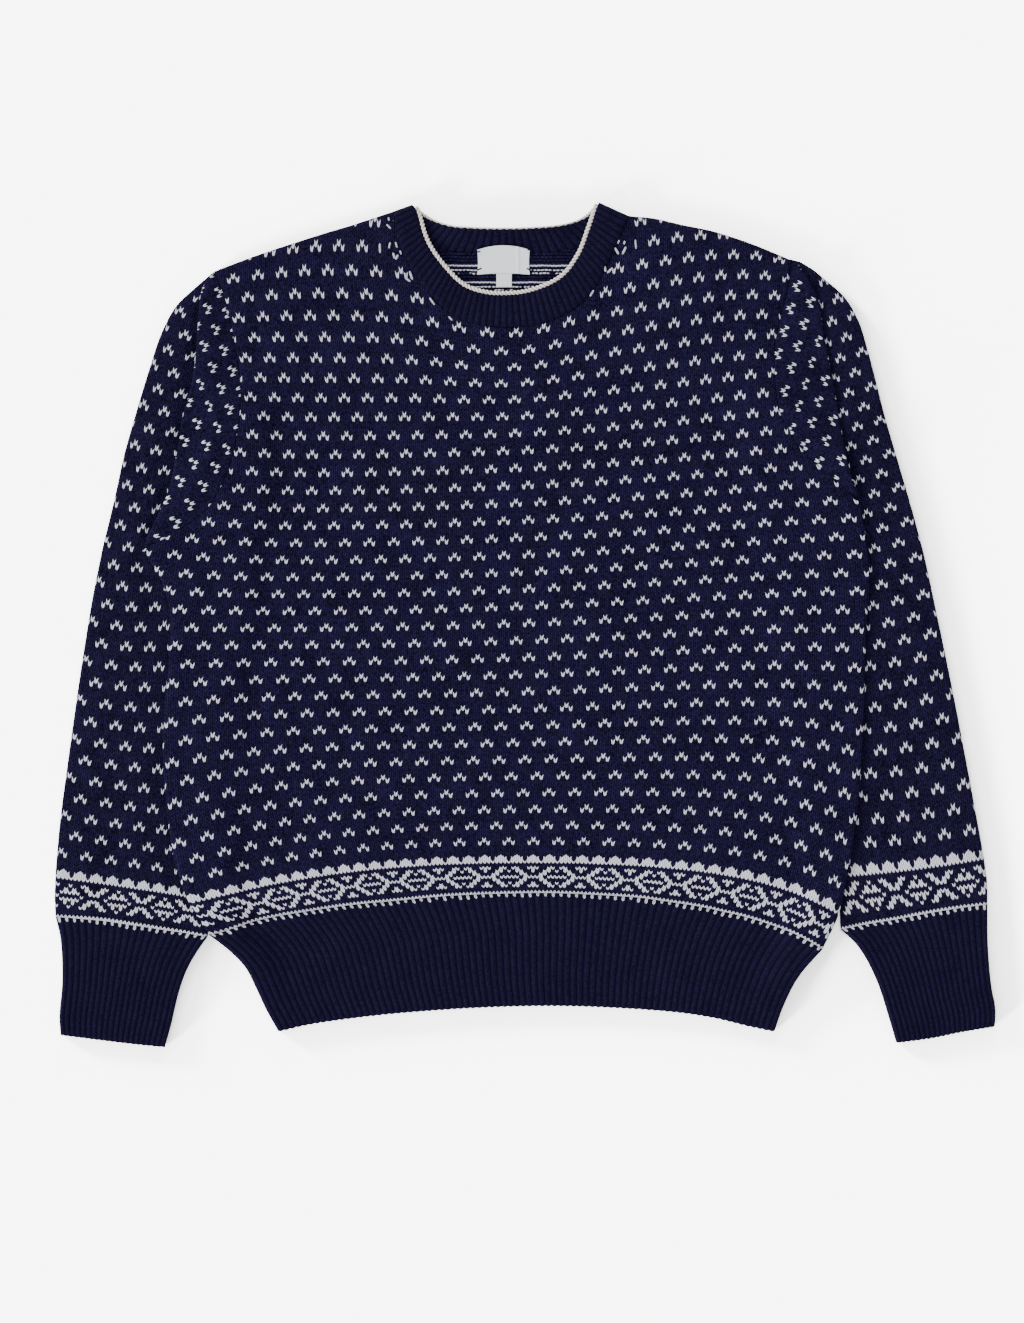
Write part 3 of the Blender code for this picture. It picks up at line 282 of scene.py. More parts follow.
def folded(points, rows):
    # soft ridges and troughs: a bell across each fold times one along it
    height = np.zeros(points.shape[:-1])
    for x, y, degrees, length, width, rise in rows:
        angle = math.radians(degrees)
        dx, dy = points[..., 0] - x, points[..., 1] - y
        along = dx * math.cos(angle) + dy * math.sin(angle)
        across = dy * math.cos(angle) - dx * math.sin(angle)
        height += rise * np.exp(-(across / width) ** 2 - (2 * along / length) ** 2)
    return height


def waves(points, seed, size, count=9):
    # lumpy height from -1 to 1: a sum of sines in seeded directions, waves about size long
    dice = np.random.default_rng(seed)
    total = np.zeros(points.shape[:-1])
    for k in range(count):
        angle, long, start = dice.uniform(0, math.pi), size * dice.uniform(0.6, 1.7), dice.uniform(0, 2 * math.pi)
        way = points[..., 0] * math.cos(angle) + points[..., 1] * math.sin(angle)
        total += np.sin(way * 2 * math.pi / long + start)
    return total / math.sqrt(count)


# ---------- where each stitch lies ----------
def lattice(name):
    # stitch and course numbers as a smooth polynomial of the plan, least squares through the marks;
    # a bell at the neck, alone and times its own x and y, lets the courses dip below the neckband
    made = latticePoints[name]
    rows = np.array([[np.nan if v is None else v for v in row] for row in made["marks"]], float)
    mostX, mostY, mostBoth = made["most"]
    powers = [(a, b) for a in range(mostX + 1) for b in range(mostY + 1) if a + b <= mostBoth]

    def terms(points):
        x = (points[..., 0] - made["middle"][0]) / made["size"][0]
        y = (points[..., 1] - made["middle"][1]) / made["size"][1]
        values = [x ** a * y ** b for a, b in powers]
        if "bell" in made:
            atX, atY, reach = made["bell"]
            dx, dy = (points[..., 0] - atX) / reach, (points[..., 1] - atY) / reach
            bell = np.exp(-dx ** 2 - dy ** 2)
            values += [bell, bell * dx, bell * dy]
        return np.stack(values, -1)

    known = ~np.isnan(rows[:, 2])
    count = terms(rows[:1]).shape[-1]
    steady, still = 1e-3 * np.eye(count), np.zeros(count)
    column = np.linalg.lstsq(np.vstack([terms(rows[known]), steady]), np.append(rows[known, 2], still), rcond=None)[0]
    row = np.linalg.lstsq(np.vstack([terms(rows), steady]), np.append(rows[:, 3], still), rcond=None)[0]
    shift = 1 if name.startswith("arm") else 0       # the sleeves' marks fall one column over

    def stitches(points):
        t = terms(points)
        return np.stack([3 * (t @ column - shift) + 0.5, 5 * (t @ row - made["first"]) + 1.28], -1)
    return stitches


stitchesOf = {name: lattice(name) for name in latticePoints}

# ---------- lines shared by neighbours ----------
lines = {name: spline(points) for name, points in outline.items()}


def overlapRing(side):
    # plan of the stretch of sleeve that lies under the body
    seam = lines["armhole" + side]
    start = np.argmin(np.linalg.norm(seam - outline["hidden" + side][0], axis=1))
    return np.vstack([lines["hidden" + side], lines["hiddenLow" + side][1:], lines["side" + side][::-1],
                      seam[start:][::-1]])


rings = [overlapRing("Left"), overlapRing("Right")]
foldedEdges = [lines["sideLeft"], lines["sideRight"], lines["shoulderLeft"], lines["shoulderRight"]]


def lift(points):
    # how high the body's underside lies: full over the sleeves, fading to the table
    height = np.zeros(points.shape[:-1])
    for ring in rings:
        away = np.where(inside(points, ring), 0.0, distance(points, np.vstack([ring, ring[:1]])))
        height = np.maximum(height, cloth["overlapLift"] * (1 - ease((away - cloth["liftMargin"]) / cloth["liftRamp"])))
    return height


def foldDistance(points):
    return np.min([distance(points, line) for line in foldedEdges], 0)


def loft(points, raised, away):
    # puff of the front over the back, less where the body lies on a sleeve
    puff = cloth["bodyLoft"] * (1 - np.exp(-away / cloth["loftReach"])) * (1 - 0.75 * raised / cloth["overlapLift"])
    return puff + folded(points, bodyFolds) * ease((away - 8) / 30) * (1 - 0.6 * raised / cloth["overlapLift"])


# ---------- meshes ----------
def cells(numbers):
    # two triangles for each cell of a table of vertex numbers
    a, b, c, d = numbers[:-1, :-1], numbers[:-1, 1:], numbers[1:, 1:], numbers[1:, :-1]
    return np.concatenate([np.stack([a, b, c], -1).reshape(-1, 3), np.stack([a, c, d], -1).reshape(-1, 3)])


def tubeFaces(stations, around):
    # a wall of rings of points, the outer ones first and then the lining's, closed at both ends
    number = np.arange(stations * around).reshape(stations, around)
    ring = np.hstack([number, number[:, :1]])
    lining = ring + number.size
    ends = [cells(np.stack([lining[0], ring[0]])), cells(np.stack([ring[-1], lining[-1]]))]
    return np.concatenate([cells(ring), cells(lining)[:, ::-1], *ends])


def makePiece(name, points, faces, uv, finishes, slots=None, values=None):
    # one closed mesh. uv is per vertex, or per face corner; slots gives each face its finish, and values
    # holds numbers per vertex that a finish reads by name
    place = (np.asarray(points, float) - np.append(cloth["middle"], 0.0)) * 0.001
    mesh = bpy.data.meshes.new(name)
    mesh.from_pydata(place.tolist(), [], np.asarray(faces).tolist())
    corners = np.zeros(len(mesh.loops), np.int32)
    mesh.loops.foreach_get("vertex_index", corners)
    flat = uv if len(uv) == len(corners) and len(uv) != len(place) else np.asarray(uv)[corners]
    mesh.uv_layers.new(name="stitches").data.foreach_set("uv", np.asarray(flat, np.float32).ravel())
    for label, numbers in (values or {}).items():
        mesh.attributes.new(label, "FLOAT", "POINT").data.foreach_set("value", np.asarray(numbers, np.float32).ravel())
    for finish in finishes:
        mesh.materials.append(finish)
    if slots is not None:
        mesh.polygons.foreach_set("material_index", np.asarray(slots, np.int32))
    mesh.shade_smooth()
    mesh.update()
    piece = bpy.data.objects.new(name, mesh)
    bpy.context.scene.collection.objects.link(piece)
    a, b, c = (place[np.asarray(faces)[:, k]] for k in range(3))
    volume = (a * np.cross(b, c)).sum() / 6
    if volume < 0:
        mesh.flip_normals()
    skin = np.linalg.norm(np.cross(b - a, c - a), axis=1).sum() / 2
    print(f"{name}: {len(faces)} triangles, {abs(volume) * 1e6:.0f} cm3, {skin / 2:.4f} m2 of cloth")
    return piece


def makePanel(name, plan, upper, lower, uv, finishes, underSlot=0, values=None, underUv=None):
    # a layer of cloth: an upper and a lower face over one grid, closed round its rim
    rows, columns = plan.shape[:2]
    number = np.arange(rows * columns).reshape(rows, columns)
    rim = np.concatenate([number[0], number[1:, -1], number[-1, -2::-1], number[-2::-1, 0]])
    top, under = cells(number), cells(number)[:, ::-1] + number.size
    side = cells(np.stack([rim + number.size, rim]))
    points = np.vstack([np.dstack([plan, upper]).reshape(-1, 3), np.dstack([plan, lower]).reshape(-1, 3)])
    slots = np.concatenate([np.zeros(len(top)), np.full(len(under), underSlot), np.zeros(len(side))])
    both = np.concatenate([uv.reshape(-1, 2), (uv if underUv is None else underUv).reshape(-1, 2)])
    values = {label: np.concatenate([numbers.ravel()] * 2) for label, numbers in (values or {}).items()}
    return makePiece(name, points, np.concatenate([top, under, side]), both, finishes, slots, values)


# ---------- shader helpers ----------
class Wire:
    # one value in a node tree; a formula of wires puts in the math nodes for it
    def __init__(self, socket):
        self.socket = socket

    def __add__(self, other):
        return calc("ADD", self, other)

    def __sub__(self, other):
        return calc("SUBTRACT", self, other)

    def __rsub__(self, other):
        return calc("SUBTRACT", other, self)

    def __mul__(self, other):
        return calc("MULTIPLY", self, other)

    def __truediv__(self, other):
        return calc("DIVIDE", self, other)

    def __mod__(self, other):
        return calc("FLOORED_MODULO", self, other)

    def __pow__(self, other):
        return calc("POWER", self, other)

    def __rpow__(self, other):
        return calc("POWER", other, self)

    def __lt__(self, other):
        return calc("LESS_THAN", self, other)

    def __gt__(self, other):
        return calc("GREATER_THAN", self, other)

    def __abs__(self):
        return calc("ABSOLUTE", self)


def feed(socket, value):
    # a wire is linked to the socket, a plain value is set on it
    if isinstance(value, Wire):
        socket.id_data.links.new(value.socket, socket)
    else:
        socket.default_value = value


def nodeBy(wire, kind):
    # a new node in the tree that the wire is in
    return wire.socket.id_data.nodes.new(kind)


def calc(operation, *values, clamp=False):
    node = nodeBy(next(value for value in values if isinstance(value, Wire)), "ShaderNodeMath")
    node.operation = operation
    node.use_clamp = clamp
    for socket, value in zip(node.inputs, values):
        feed(socket, value)
    return Wire(node.outputs[0])


def blendColour(share, a, b):
    node = nodeBy(share, "ShaderNodeMix")
    node.data_type = "RGBA"
    for label, value in (("Factor", share), ("A", a), ("B", b)):
        feed(node.inputs[label], value)
    return Wire(node.outputs["Result"])


def span(value, low, high, toLow=0.0, toHigh=1.0):
    # from toLow to toHigh as the value goes from low to high, with level ends
    node = nodeBy(value, "ShaderNodeMapRange")
    node.interpolation_type = "SMOOTHSTEP"
    for place, number in enumerate((value, low, high, toLow, toHigh)):
        feed(node.inputs[place], number)
    return Wire(node.outputs[0])


def noise(vector, scale, detail=2.0, rough=0.5):
    # the noise's one value, and its three as a vector
    node = nodeBy(vector, "ShaderNodeTexNoise")
    for label, value in (("Vector", vector), ("Scale", scale), ("Detail", detail), ("Roughness", rough)):
        feed(node.inputs[label], value)
    return Wire(node.outputs["Fac"]), Wire(node.outputs["Color"])


def parts(vector):
    node = nodeBy(vector, "ShaderNodeSeparateXYZ")
    feed(node.inputs[0], vector)
    return [Wire(socket) for socket in node.outputs]


def bump(height, distance):
    node = nodeBy(height, "ShaderNodeBump")
    for label, value in (("Strength", 1.0), ("Distance", distance), ("Height", height)):
        feed(node.inputs[label], value)
    return Wire(node.outputs[0])


def newGroup(name, inputs, outputs):
    # inputs are named with the value that they start from: none for a vector, four numbers for a colour
    tree = bpy.data.node_groups.new(name, "ShaderNodeTree")
    for label, value in inputs.items():
        kind = "Vector" if value is None else "Color" if isinstance(value, tuple) else "Float"
        socket = tree.interface.new_socket(label, in_out="INPUT", socket_type="NodeSocket" + kind)
        if value is not None:
            socket.default_value = value
    for label in outputs:
        kind = "Color" if label == "Color" else "Float"
        tree.interface.new_socket(label, in_out="OUTPUT", socket_type="NodeSocket" + kind)
    given = {socket.name: Wire(socket) for socket in tree.nodes.new("NodeGroupInput").outputs}
    return tree, given, tree.nodes.new("NodeGroupOutput").inputs


def useGroup(tree, group, **values):
    node = tree.nodes.new("ShaderNodeGroup")
    node.node_tree = group
    for label, value in values.items():
        feed(node.inputs[label], value)
    return {socket.name: Wire(socket) for socket in node.outputs}


# ---------- stitches ----------
def buildStitchGroup():
    # A knitted stitch is a V: two legs that rise from the column's middle to its borders. With f the
    # distance from the middle, the course is the floor of v - rise (2 f)^bend; each leg is rounded across.
    tree, given, out = newGroup(
        "knitStitch", {"Stitch": None, "Rise": 0.72, "Bend": 1.6, "Uneven": 0.2, "Fuzz": 0.13},
        ["Column", "Course", "Along", "Across", "Side", "Climbed", "Height", "Gap"])
    slow = parts(noise(given["Stitch"], 0.45, 1.0)[1])
    fast = parts(noise(given["Stitch"], 5.0, 2.0, 0.6)[1])
    u, v = (value + (broad - 0.5) * given["Uneven"] + (fine - 0.5) * given["Fuzz"]
            for value, broad, fine in list(zip(parts(given["Stitch"]), slow, fast))[:2])
    column = calc("FLOOR", u)
    aside = u - column - 0.5
    across = abs(aside)
    climbed = v - (across * 2.0) ** given["Bend"] * given["Rise"]
    course = calc("FLOOR", climbed)
    along = climbed - course
    fromLeg = (across - 0.25) / 0.27
    leg = calc("SUBTRACT", 1.0, fromLeg * fromLeg, clamp=True)
    height = calc("SQRT", leg) * (calc("SINE", along * math.pi) * 0.45 + 0.55)
    # Gap is 0 down between the legs and 1 on their tops; the finishes paint shade where it is low
    made = (column, course, along, across, calc("SIGN", aside), climbed, height, span(height, 0.2, 0.82))
    for socket, value in zip(out, made):
        feed(socket, value)
    return tree


# the band over the hem, one string a course from the top down, 12 stitches from an eye's middle
hemBand = {
    -4: "..#...#...#.", -5: ".###.###.###", -6: "############", -8: ".##..###..##", -9: "#.##..#..##.",
    -10: "...##...##..", -11: "###.#####.##", -12: "...##...##..", -13: "#.##..#..##.", -14: ".##..###..##",
}
sleeveBand = dict(hemBand)
sleeveBand.update({
    -8: "#..##...##..", -9: ".#..##.##..#", -10: "###..###..##", -11: "...#.....#..", -12: "###..###..##",
    -13: ".#..##.##..#", -14: "#..##...##..",
})
# the small marks, in every tenth course: two stitches with a third above and between them
small = {0: ".#...#.#...#", 1: "#.....#.....", 5: "..#.#...#.#.", 6: "...#.....#.."}


def buildDigitGroup(name, band, shift):
    # each course is a number whose binary digits are its stitches; the group reads one digit
    tree, given, out = newGroup(name, {"Column": 0.0, "Course": 0.0}, ["Digit"])
    tenth = given["Course"] % 10.0
    above = given["Course"] > -2.5 if band else 1.0
    total = 0.0
    for chart, number, turned, shown in ((band, given["Course"], shift, 1.0), (small, tenth, 0, above)):
        for row, signs in chart.items():
            digits = sum(1 << ((k + turned) % 12) for k, sign in enumerate(signs) if sign == "#")
            total = calc("COMPARE", number, float(row), 0.2) * shown * float(digits) + total
    place = 2.0 ** (given["Column"] % 12.0)
    feed(out["Digit"], calc("FLOOR", total / place) % 2.0)
    return tree


def buildChartGroup(name, band, shift):
    # A white stitch keeps clear of the column's borders unless the stitch beside it is white. In the band
    # only its lower half shows unless the one above is white. A lone mark's stitch is drawn longer, widens
    # as it climbs and is notched between its legs. The band's top stitches draw to points. A white zigzag
    # line runs along the seam: Above is the height over the seam in courses.
    digits = buildDigitGroup(name + "Digits", band, shift)
    labels = ("Column", "Course", "Along", "Across", "Side", "Climbed", "Above")
    tree, given, out = newGroup(name, {label: 0.0 for label in labels}, ["White"])
    column, course, along, across, side, climbed, above = (given[label] for label in labels)

    def digit(column, course):
        return useGroup(tree, digits, Column=column, Course=course)["Digit"]
    inBand = course < -5.5 if band else 0.0
    lone = course > -2.5
    own = digit(column, course)
    up = along - (1.0 - own)                              # below 0 in the longer part
    longer = digit(column, calc("FLOOR", climbed + 0.1))
    own = calc("MAXIMUM", own, longer * lone)
    slope = lone * 0.15 - calc("COMPARE", course, -4.0, 0.2) * 0.34
    reach = up * slope + (lone * -0.065 + 0.385)
    border = (across > reach) * (1.0 - digit(column + side, course))
    notch = across < lone * (up * 0.17 - 0.09)
    end = (along > 0.6) * inBand * (1.0 - digit(column, course + 1.0))
    white = own - border - (end + notch)
    if band:
        white = calc("MAXIMUM", white, above < across * 1.5 + 0.16)
    feed(out["White"], white > 0.5)
    return tree


# ---------- finishes ----------
# navy, white, rib and cream are the yarns' own colours; the four darker ones that go with them are painted shade for
# the gaps between stitches, ribs and strands, the white's one lilac as where navy fibres cross it
wool = {
    "navy": (0.0108, 0.0079, 0.0338, 1), "navyGapShade": (0.0014, 0.0010, 0.0040, 1),
    # the sleeves' navy is a slightly darker copy of the body's, painted shade for the sleeves lying lower
    "sleeveShadedNavy": (0.0104, 0.0077, 0.0312, 1), "white": (0.77, 0.765, 0.86, 1), "whiteGapShade": (0.22, 0.215, 0.33, 1),
    "rib": (0.0098, 0.0073, 0.0300, 1), "ribGapShade": (0.0042, 0.0030, 0.0115, 1),
    "cream": (0.92, 0.86, 0.79, 1), "creamGapShade": (0.46, 0.36, 0.31, 1),
    "relief": 0.0009, "fibreRelief": 0.16, "mottle": 5.8, "ribMottle": 3.4, "paleMottle": 1.0, "darkest": 0.18,
    "sheen": 0.012, "sheenTint": (0.4, 0.42, 0.9, 1), "gloss": 0.02, "rough": 0.95,
}


def buildWoolAndGapShadeGroup():
    # yarn colour: heathered light and dark fibres, and painted shade down in the gaps between stitches: where Gap is
    # low it blends to the Deep colour
    tree, given, out = newGroup(
        "woolMottleAndGapShade", {"Position": None, "Yarn": (1, 1, 1, 1), "Deep": (0, 0, 0, 1), "Gap": 1.0, "Mottle": 0.35},
        ["Color", "Fibre"])
    broad, middling, fine = (noise(given["Position"], *grain)[0]
                             for grain in ((60.0, 3.0, 0.6), (480.0, 2.0, 0.6), (1400.0, 3.0, 0.7)))
    mixed = broad * 0.2 + middling * 0.55 + fine * 0.25
    swing = calc("MAXIMUM", (mixed - 0.5) * given["Mottle"] + 1.0, wool["darkest"])
    scaled = tree.nodes.new("ShaderNodeVectorMath")
    scaled.operation = "SCALE"
    feed(scaled.inputs[0], given["Yarn"])
    feed(scaled.inputs["Scale"], swing)
    feed(out["Color"], blendColour(given["Gap"], given["Deep"], Wire(scaled.outputs[0])))
    feed(out["Fibre"], fine)
    return tree


stitchGroup = buildStitchGroup()
woolAndGapShadeGroup = buildWoolAndGapShadeGroup()
hemChart = buildChartGroup("hemChart", hemBand, 0)
sleeveChart = buildChartGroup("sleeveChart", sleeveBand, 3)
marksChart = buildChartGroup("marksChart", {}, 0)


def newMaterial(name, roughness=wool["rough"], sheen=wool["sheen"], sheenTint=wool["sheenTint"]):
    material = bpy.data.materials.new(name)
    material.use_nodes = True
    shader = material.node_tree.nodes["Principled BSDF"]
    shader.inputs["Roughness"].default_value = roughness
    shader.inputs["Specular IOR Level"].default_value = wool["gloss"]
    shader.inputs["Sheen Weight"].default_value = sheen
    shader.inputs["Sheen Roughness"].default_value = 0.6
    shader.inputs["Sheen Tint"].default_value = sheenTint
    return material, material.node_tree, shader


def finishWith(shader, colour, height, relief=wool["relief"]):
    feed(shader.inputs["Base Color"], colour)
    feed(shader.inputs["Normal"], bump(height, relief))


def stitchMap(tree):
    node = tree.nodes.new("ShaderNodeUVMap")
    node.uv_map = "stitches"
    return Wire(node.outputs[0])


def position(tree):
    return Wire(tree.nodes.new("ShaderNodeTexCoord").outputs["Object"])


def attribute(tree, name):
    node = tree.nodes.new("ShaderNodeAttribute")
    node.attribute_name = name
    return Wire(node.outputs["Fac"])


def yarns(tree, white, whiteGap, dark, deep, depth, mottle):
    # the two yarns' colours, each with painted shade down in its gaps, chosen by the mask, and the navy's fibre
    where = position(tree)
    navy = useGroup(tree, woolAndGapShadeGroup, Position=where, Yarn=wool[dark], Deep=wool[deep], Gap=depth, Mottle=wool[mottle])
    if white is None:
        return navy["Color"], navy["Fibre"]
    pale = useGroup(tree, woolAndGapShadeGroup, Position=where, Yarn=wool["white"], Deep=wool["whiteGapShade"], Gap=whiteGap,
                    Mottle=wool["paleMottle"])
    return blendColour(white, navy["Color"], pale["Color"]), navy["Fibre"]


def strandedKnit(name, chart, yarn="navy"):
    # navy stocking stitch with white stitches where the chart says, but for the places kept plain
    material, tree, shader = newMaterial(name)
    cell = useGroup(tree, stitchGroup, Stitch=stitchMap(tree))
    given = {label: cell[label] for label in ("Column", "Course", "Along", "Across", "Side", "Climbed")}
    white = useGroup(tree, chart, **given, Above=attribute(tree, "above"))["White"]
    white = white * (attribute(tree, "plain") < 0.5)
    # painted shade between the legs of the stitches, in both yarns, where Gap is low
    colour, fibre = yarns(tree, white, cell["Gap"], yarn, "navyGapShade", cell["Gap"], "mottle")
    finishWith(shader, colour, fibre * wool["fibreRelief"] + (white * 0.15 + cell["Height"]))
    return material


def ribKnit(name, teeth=0.0):
    # a column of V stitches on each ridge, with painted shade in the valleys and between the legs; teeth is how many
    # courses below the seam the ridges' first stitches are white
    material, tree, shader = newMaterial(name)
    cell = useGroup(tree, stitchGroup, Stitch=stitchMap(tree), Uneven=0.1)
    # share of the yarn's own colour: low in the valleys and between the legs, where the finish paints shade
    depth = (cell["Gap"] * 0.5 + 0.5) * span(attribute(tree, "crown"), 0.0, 0.5)
    white = None
    if teeth:
        dice = tree.nodes.new("ShaderNodeTexWhiteNoise")
        dice.noise_dimensions = "1D"
        feed(dice.inputs["W"], cell["Column"])
        ridge = (cell["Column"] % 2.0) < 0.5
        near = cell["Climbed"] > Wire(dice.outputs["Value"]) * 0.7 - (teeth + 0.3)
        white = ridge * near * (cell["Across"] < 0.35)
    colour, fibre = yarns(tree, white, cell["Gap"], "rib", "ribGapShade", depth, "ribMottle")
    finishWith(shader, colour, fibre * wool["fibreRelief"] + cell["Height"])
    return material


def insideKnit(name):
    # the wrong side: rows of purl bumps with painted shade between them, and the white yarn carried along in every five
    # courses
    material, tree, shader = newMaterial(name)
    stitch = stitchMap(tree)
    driftX, driftY, _ = parts(noise(stitch, 0.35, 2.0)[1])
    u, v, _ = parts(stitch)
    v = (driftY - 0.5) * 0.5 + v
    course = calc("FLOOR", v)
    bead = calc("SINE", (u + course * 0.5) * (2 * math.pi))
    height = calc("SINE", (v - course) * math.pi) * (bead * 0.3 + 0.7)
    white = 0.0                       # strands at three heights of the five, the last broken up
    for level, low in ((1.95, 0.2), (0.62, 0.36), (4.66, 0.47)):
        strand = span(abs(v % 5.0 - level), 0.08, 0.3, 1.0, 0.0)
        white = calc("MAXIMUM", white, strand * span(bead * 0.04 + driftX, low, low + 0.1))
    white = white * (v < 3.6)
    # painted shade between the purl bumps, on the navy and on the white strands
    colour, _ = yarns(tree, white, span(bead, -1.2, 0.2), "navy", "navyGapShade", span(height, 0.1, 0.6), "mottle")
    finishWith(shader, colour, white * 0.4 + height)
    return material


bodyKnit = strandedKnit("bodyKnit", hemChart)
# the sleeves take the darker copy of the navy, painted shade
sleeveKnit = strandedKnit("sleeveKnit", sleeveChart, "sleeveShadedNavy")
capKnit = strandedKnit("capKnit", marksChart)
wrongSide = insideKnit("wrongSide")
plainRib = ribKnit("plainRib")
toothedRib = ribKnit("toothedRib", 1.4)
print("knit finishes ready")

# ---------- body ----------
body = {
    "edgeSteps": [0.0, 0.25, 0.7, 1.3, 2.1, 3.1, 4.3, 5.8, 7.8],    # first columns from a folded side
    "middleColumns": 176, "shoulderColumns": 48, "armholeRows": 92, "sideRows": 118, "chestShare": 0.41,
    "seamDip": 0.35, "seamWidth": 2.4, "sewnPuff": 1.0, "sewnReach": 16.0, "rimRise": 0.5, "calmReach": 18.0,
    "tuck": 1.3,
    "lumps": 0.35, "lumpSize": 46.0, "ripple": 0.14, "rippleSize": 13.0,
    "floatTop": 298.3, "floatCourse": 2.8, "floatStitch": 3.3,           # the inside seen in the neck
}


def columnShares(line):
    total = walked(line)[-1]
    near = np.array(body["edgeSteps"]) / total
    centre = np.linspace(near[-1], 1 - near[-1], body["middleColumns"] + 2)[1:-1]
    return np.concatenate([near, centre, 1 - near[::-1]])


def topLine(neck):
    # top boundary of a body panel: shoulder, neck seam, shoulder
    count = 2 * len(body["edgeSteps"]) + body["middleColumns"]
    side = body["shoulderColumns"]
    return np.vstack([atSteps(lines["shoulderLeft"], side)[:-1], atSteps(lines[neck], count - 2 * side - 1),
                      atSteps(lines["shoulderRight"], side)[1:]])


def bodyPlan(neck):
    # plan grid of a body panel, rows from hem to shoulder, in two patches that meet at the chest
    hem = atShares(lines["hemSeam"], columnShares(lines["hemSeam"]))
    first = body["edgeSteps"][1:]
    left, right = (np.vstack([atSteps(lines["side" + side][::-1], body["sideRows"]),
                              atSteps(lines["armhole" + side], body["armholeRows"], first)[::-1][1:]])
                   for side in ("Left", "Right"))
    chest = len(left) - 1 - int(body["chestShare"] * body["armholeRows"])
    shares = 0.5 * columnShares(np.array([left[chest], right[chest]])) + 0.5 * np.linspace(0, 1, len(hem))
    across = left[chest] + shares[:, None] * (right[chest] - left[chest])
    low = patch(hem, across, left[:chest + 1], right[:chest + 1])
    high = patch(across, topLine(neck), left[chest:], right[chest:])
    return np.vstack([low, high[1:]])


def seamValley(points, seams):
    # a groove along sewn edges: a bell across the distance to the nearest seam
    near = np.min([distance(points, lines[name]) for name in seams], 0)
    return -body["seamDip"] * np.exp(-(near / body["seamWidth"]) ** 2)


def frontHeights(points):
    # upper and lower face: the lift over the sleeves, the puff and folds, rounded down at folded edges;
    # at the armholes the puff is the sleeve cap's
    raised, away = lift(points), foldDistance(points)
    puff = loft(points, raised, away)
    calm = ease(away / body["calmReach"])
    lumps = body["lumps"] * waves(points, 3, body["lumpSize"]) + body["ripple"] * waves(points, 5, body["rippleSize"])
    puff = puff + calm * lumps
    sewn = np.minimum(distance(points, lines["armholeLeft"]), distance(points, lines["armholeRight"]))
    puff = body["sewnPuff"] + (puff - body["sewnPuff"]) * ease(sewn / body["sewnReach"])
    start = cloth["foldStart"]
    rim = start + body["rimRise"]
    upper = raised + rim + (twoLayers + puff - rim) * turn(away / cloth["foldRadius"])
    upper = upper + seamValley(points, ["armholeLeft", "armholeRight", "neckFront"]) * ease(away / 6)
    lower = raised + start + np.maximum(puff, 0.2) * ease(away / cloth["foldRadius"])
    return upper, np.minimum(lower, upper - 0.8 * turn(away / 2) - 0.3)


# beside the neckband the marks break up where stitches were cast off: plain places, then loose stitches
looseStitches = {
    "plain": [(-109.0, 333.5, -108.5, 336.0, 4.5), (-116.5, 315.0, -116.5, 316.0, 8.5),
              (86.5, 319.0, 86.5, 320.5, 8.0),
              (-73.0, 268.0, -72.0, 269.0, 5.0), (50.0, 272.2, 51.5, 273.5, 4.5)],
    "white": [(-115.6, 342.4, -115.0, 339.4, 0.75), (-117.2, 336.6, -113.4, 332.6, 0.8),
              (-122.9, 320.6, -122.5, 312.0, 0.9),
              (-114.0, 321.4, -115.2, 316.0, 0.8), (-109.6, 321.6, -108.2, 316.6, 0.8),
              (-111.6, 312.6, -110.2, 307.4, 0.95),
              (-107.4, 310.8, -109.4, 306.6, 0.95), (-105.8, 314.4, -104.8, 311.0, 0.7),
              (-102.2, 295.6, -100.4, 291.8, 0.8),
              (-97.9, 297.2, -95.2, 289.6, 0.95), (-101.4, 291.2, -97.0, 288.2, 0.9),
              (-81.2, 274.8, -76.6, 268.4, 0.8),
              (-65.0, 259.0, -61.9, 255.6, 0.8), (53.6, 275.6, 56.9, 281.2, 0.8), (66.0, 301.4, 66.8, 296.4, 0.95),
              (68.0, 295.2, 72.8, 299.8, 0.95), (78.4, 323.2, 76.8, 320.0, 0.8), (83.0, 322.6, 82.2, 319.4, 0.8),
              (74.6, 316.8, 77.8, 311.0, 0.95), (84.0, 317.6, 80.8, 311.0, 0.95), (91.8, 323.8, 92.4, 315.6, 0.75)],
}


def plainness(points):
    # 1 in the places kept plain, falling through one half at their rims
    rows = looseStitches["plain"]
    return np.max([1.5 - distance(points, np.array([row[:2], row[2:4]])) / row[4] for row in rows], 0).clip(0, 1)


def aboveSeam(points, seam):
    return distance(points, lines[seam]) / cloth["course"]


plan = bodyPlan("neckFront")
upper, lower = frontHeights(plan)
front = makePanel("front_panel", plan, upper, lower, stitchesOf["body"](plan), [bodyKnit],
                  values={"plain": plainness(plan), "above": aboveSeam(plan, "hemSeam")})

plan = bodyPlan("neckBack")
raised, away = lift(plan), foldDistance(plan)
under = raised + body["tuck"] * (1 - turn(away / cloth["tableRadius"]))
inner = np.dstack([plan[..., 0] / body["floatStitch"], 0.5 + (plan[..., 1] - body["floatTop"]) / body["floatCourse"]])
back = makePanel("back_panel", plan, raised + cloth["knit"], under, inner, [wrongSide, bodyKnit], 1,
                 underUv=stitchesOf["body"](plan), values={"above": aboveSeam(plan, "hemSeam")})
print("body made")

# ---------- ribs ----------
rib = {"perRib": 8, "height": 0.9, "wall": 2.2, "hemRibs": 80, "cuffRibs": 20, "neckRibs": 52, "backNeckRibs": 30,
       "hemRows": 26, "cuffRows": 26, "bandRows": 16, "fullness": 0.75, "endReach": 2.2, "hemEnd": 0.72, "cuffEnd": 0.7,
       "hemScallop": 0.7, "cuffScallop": 0.6, "tuck": 1.1}


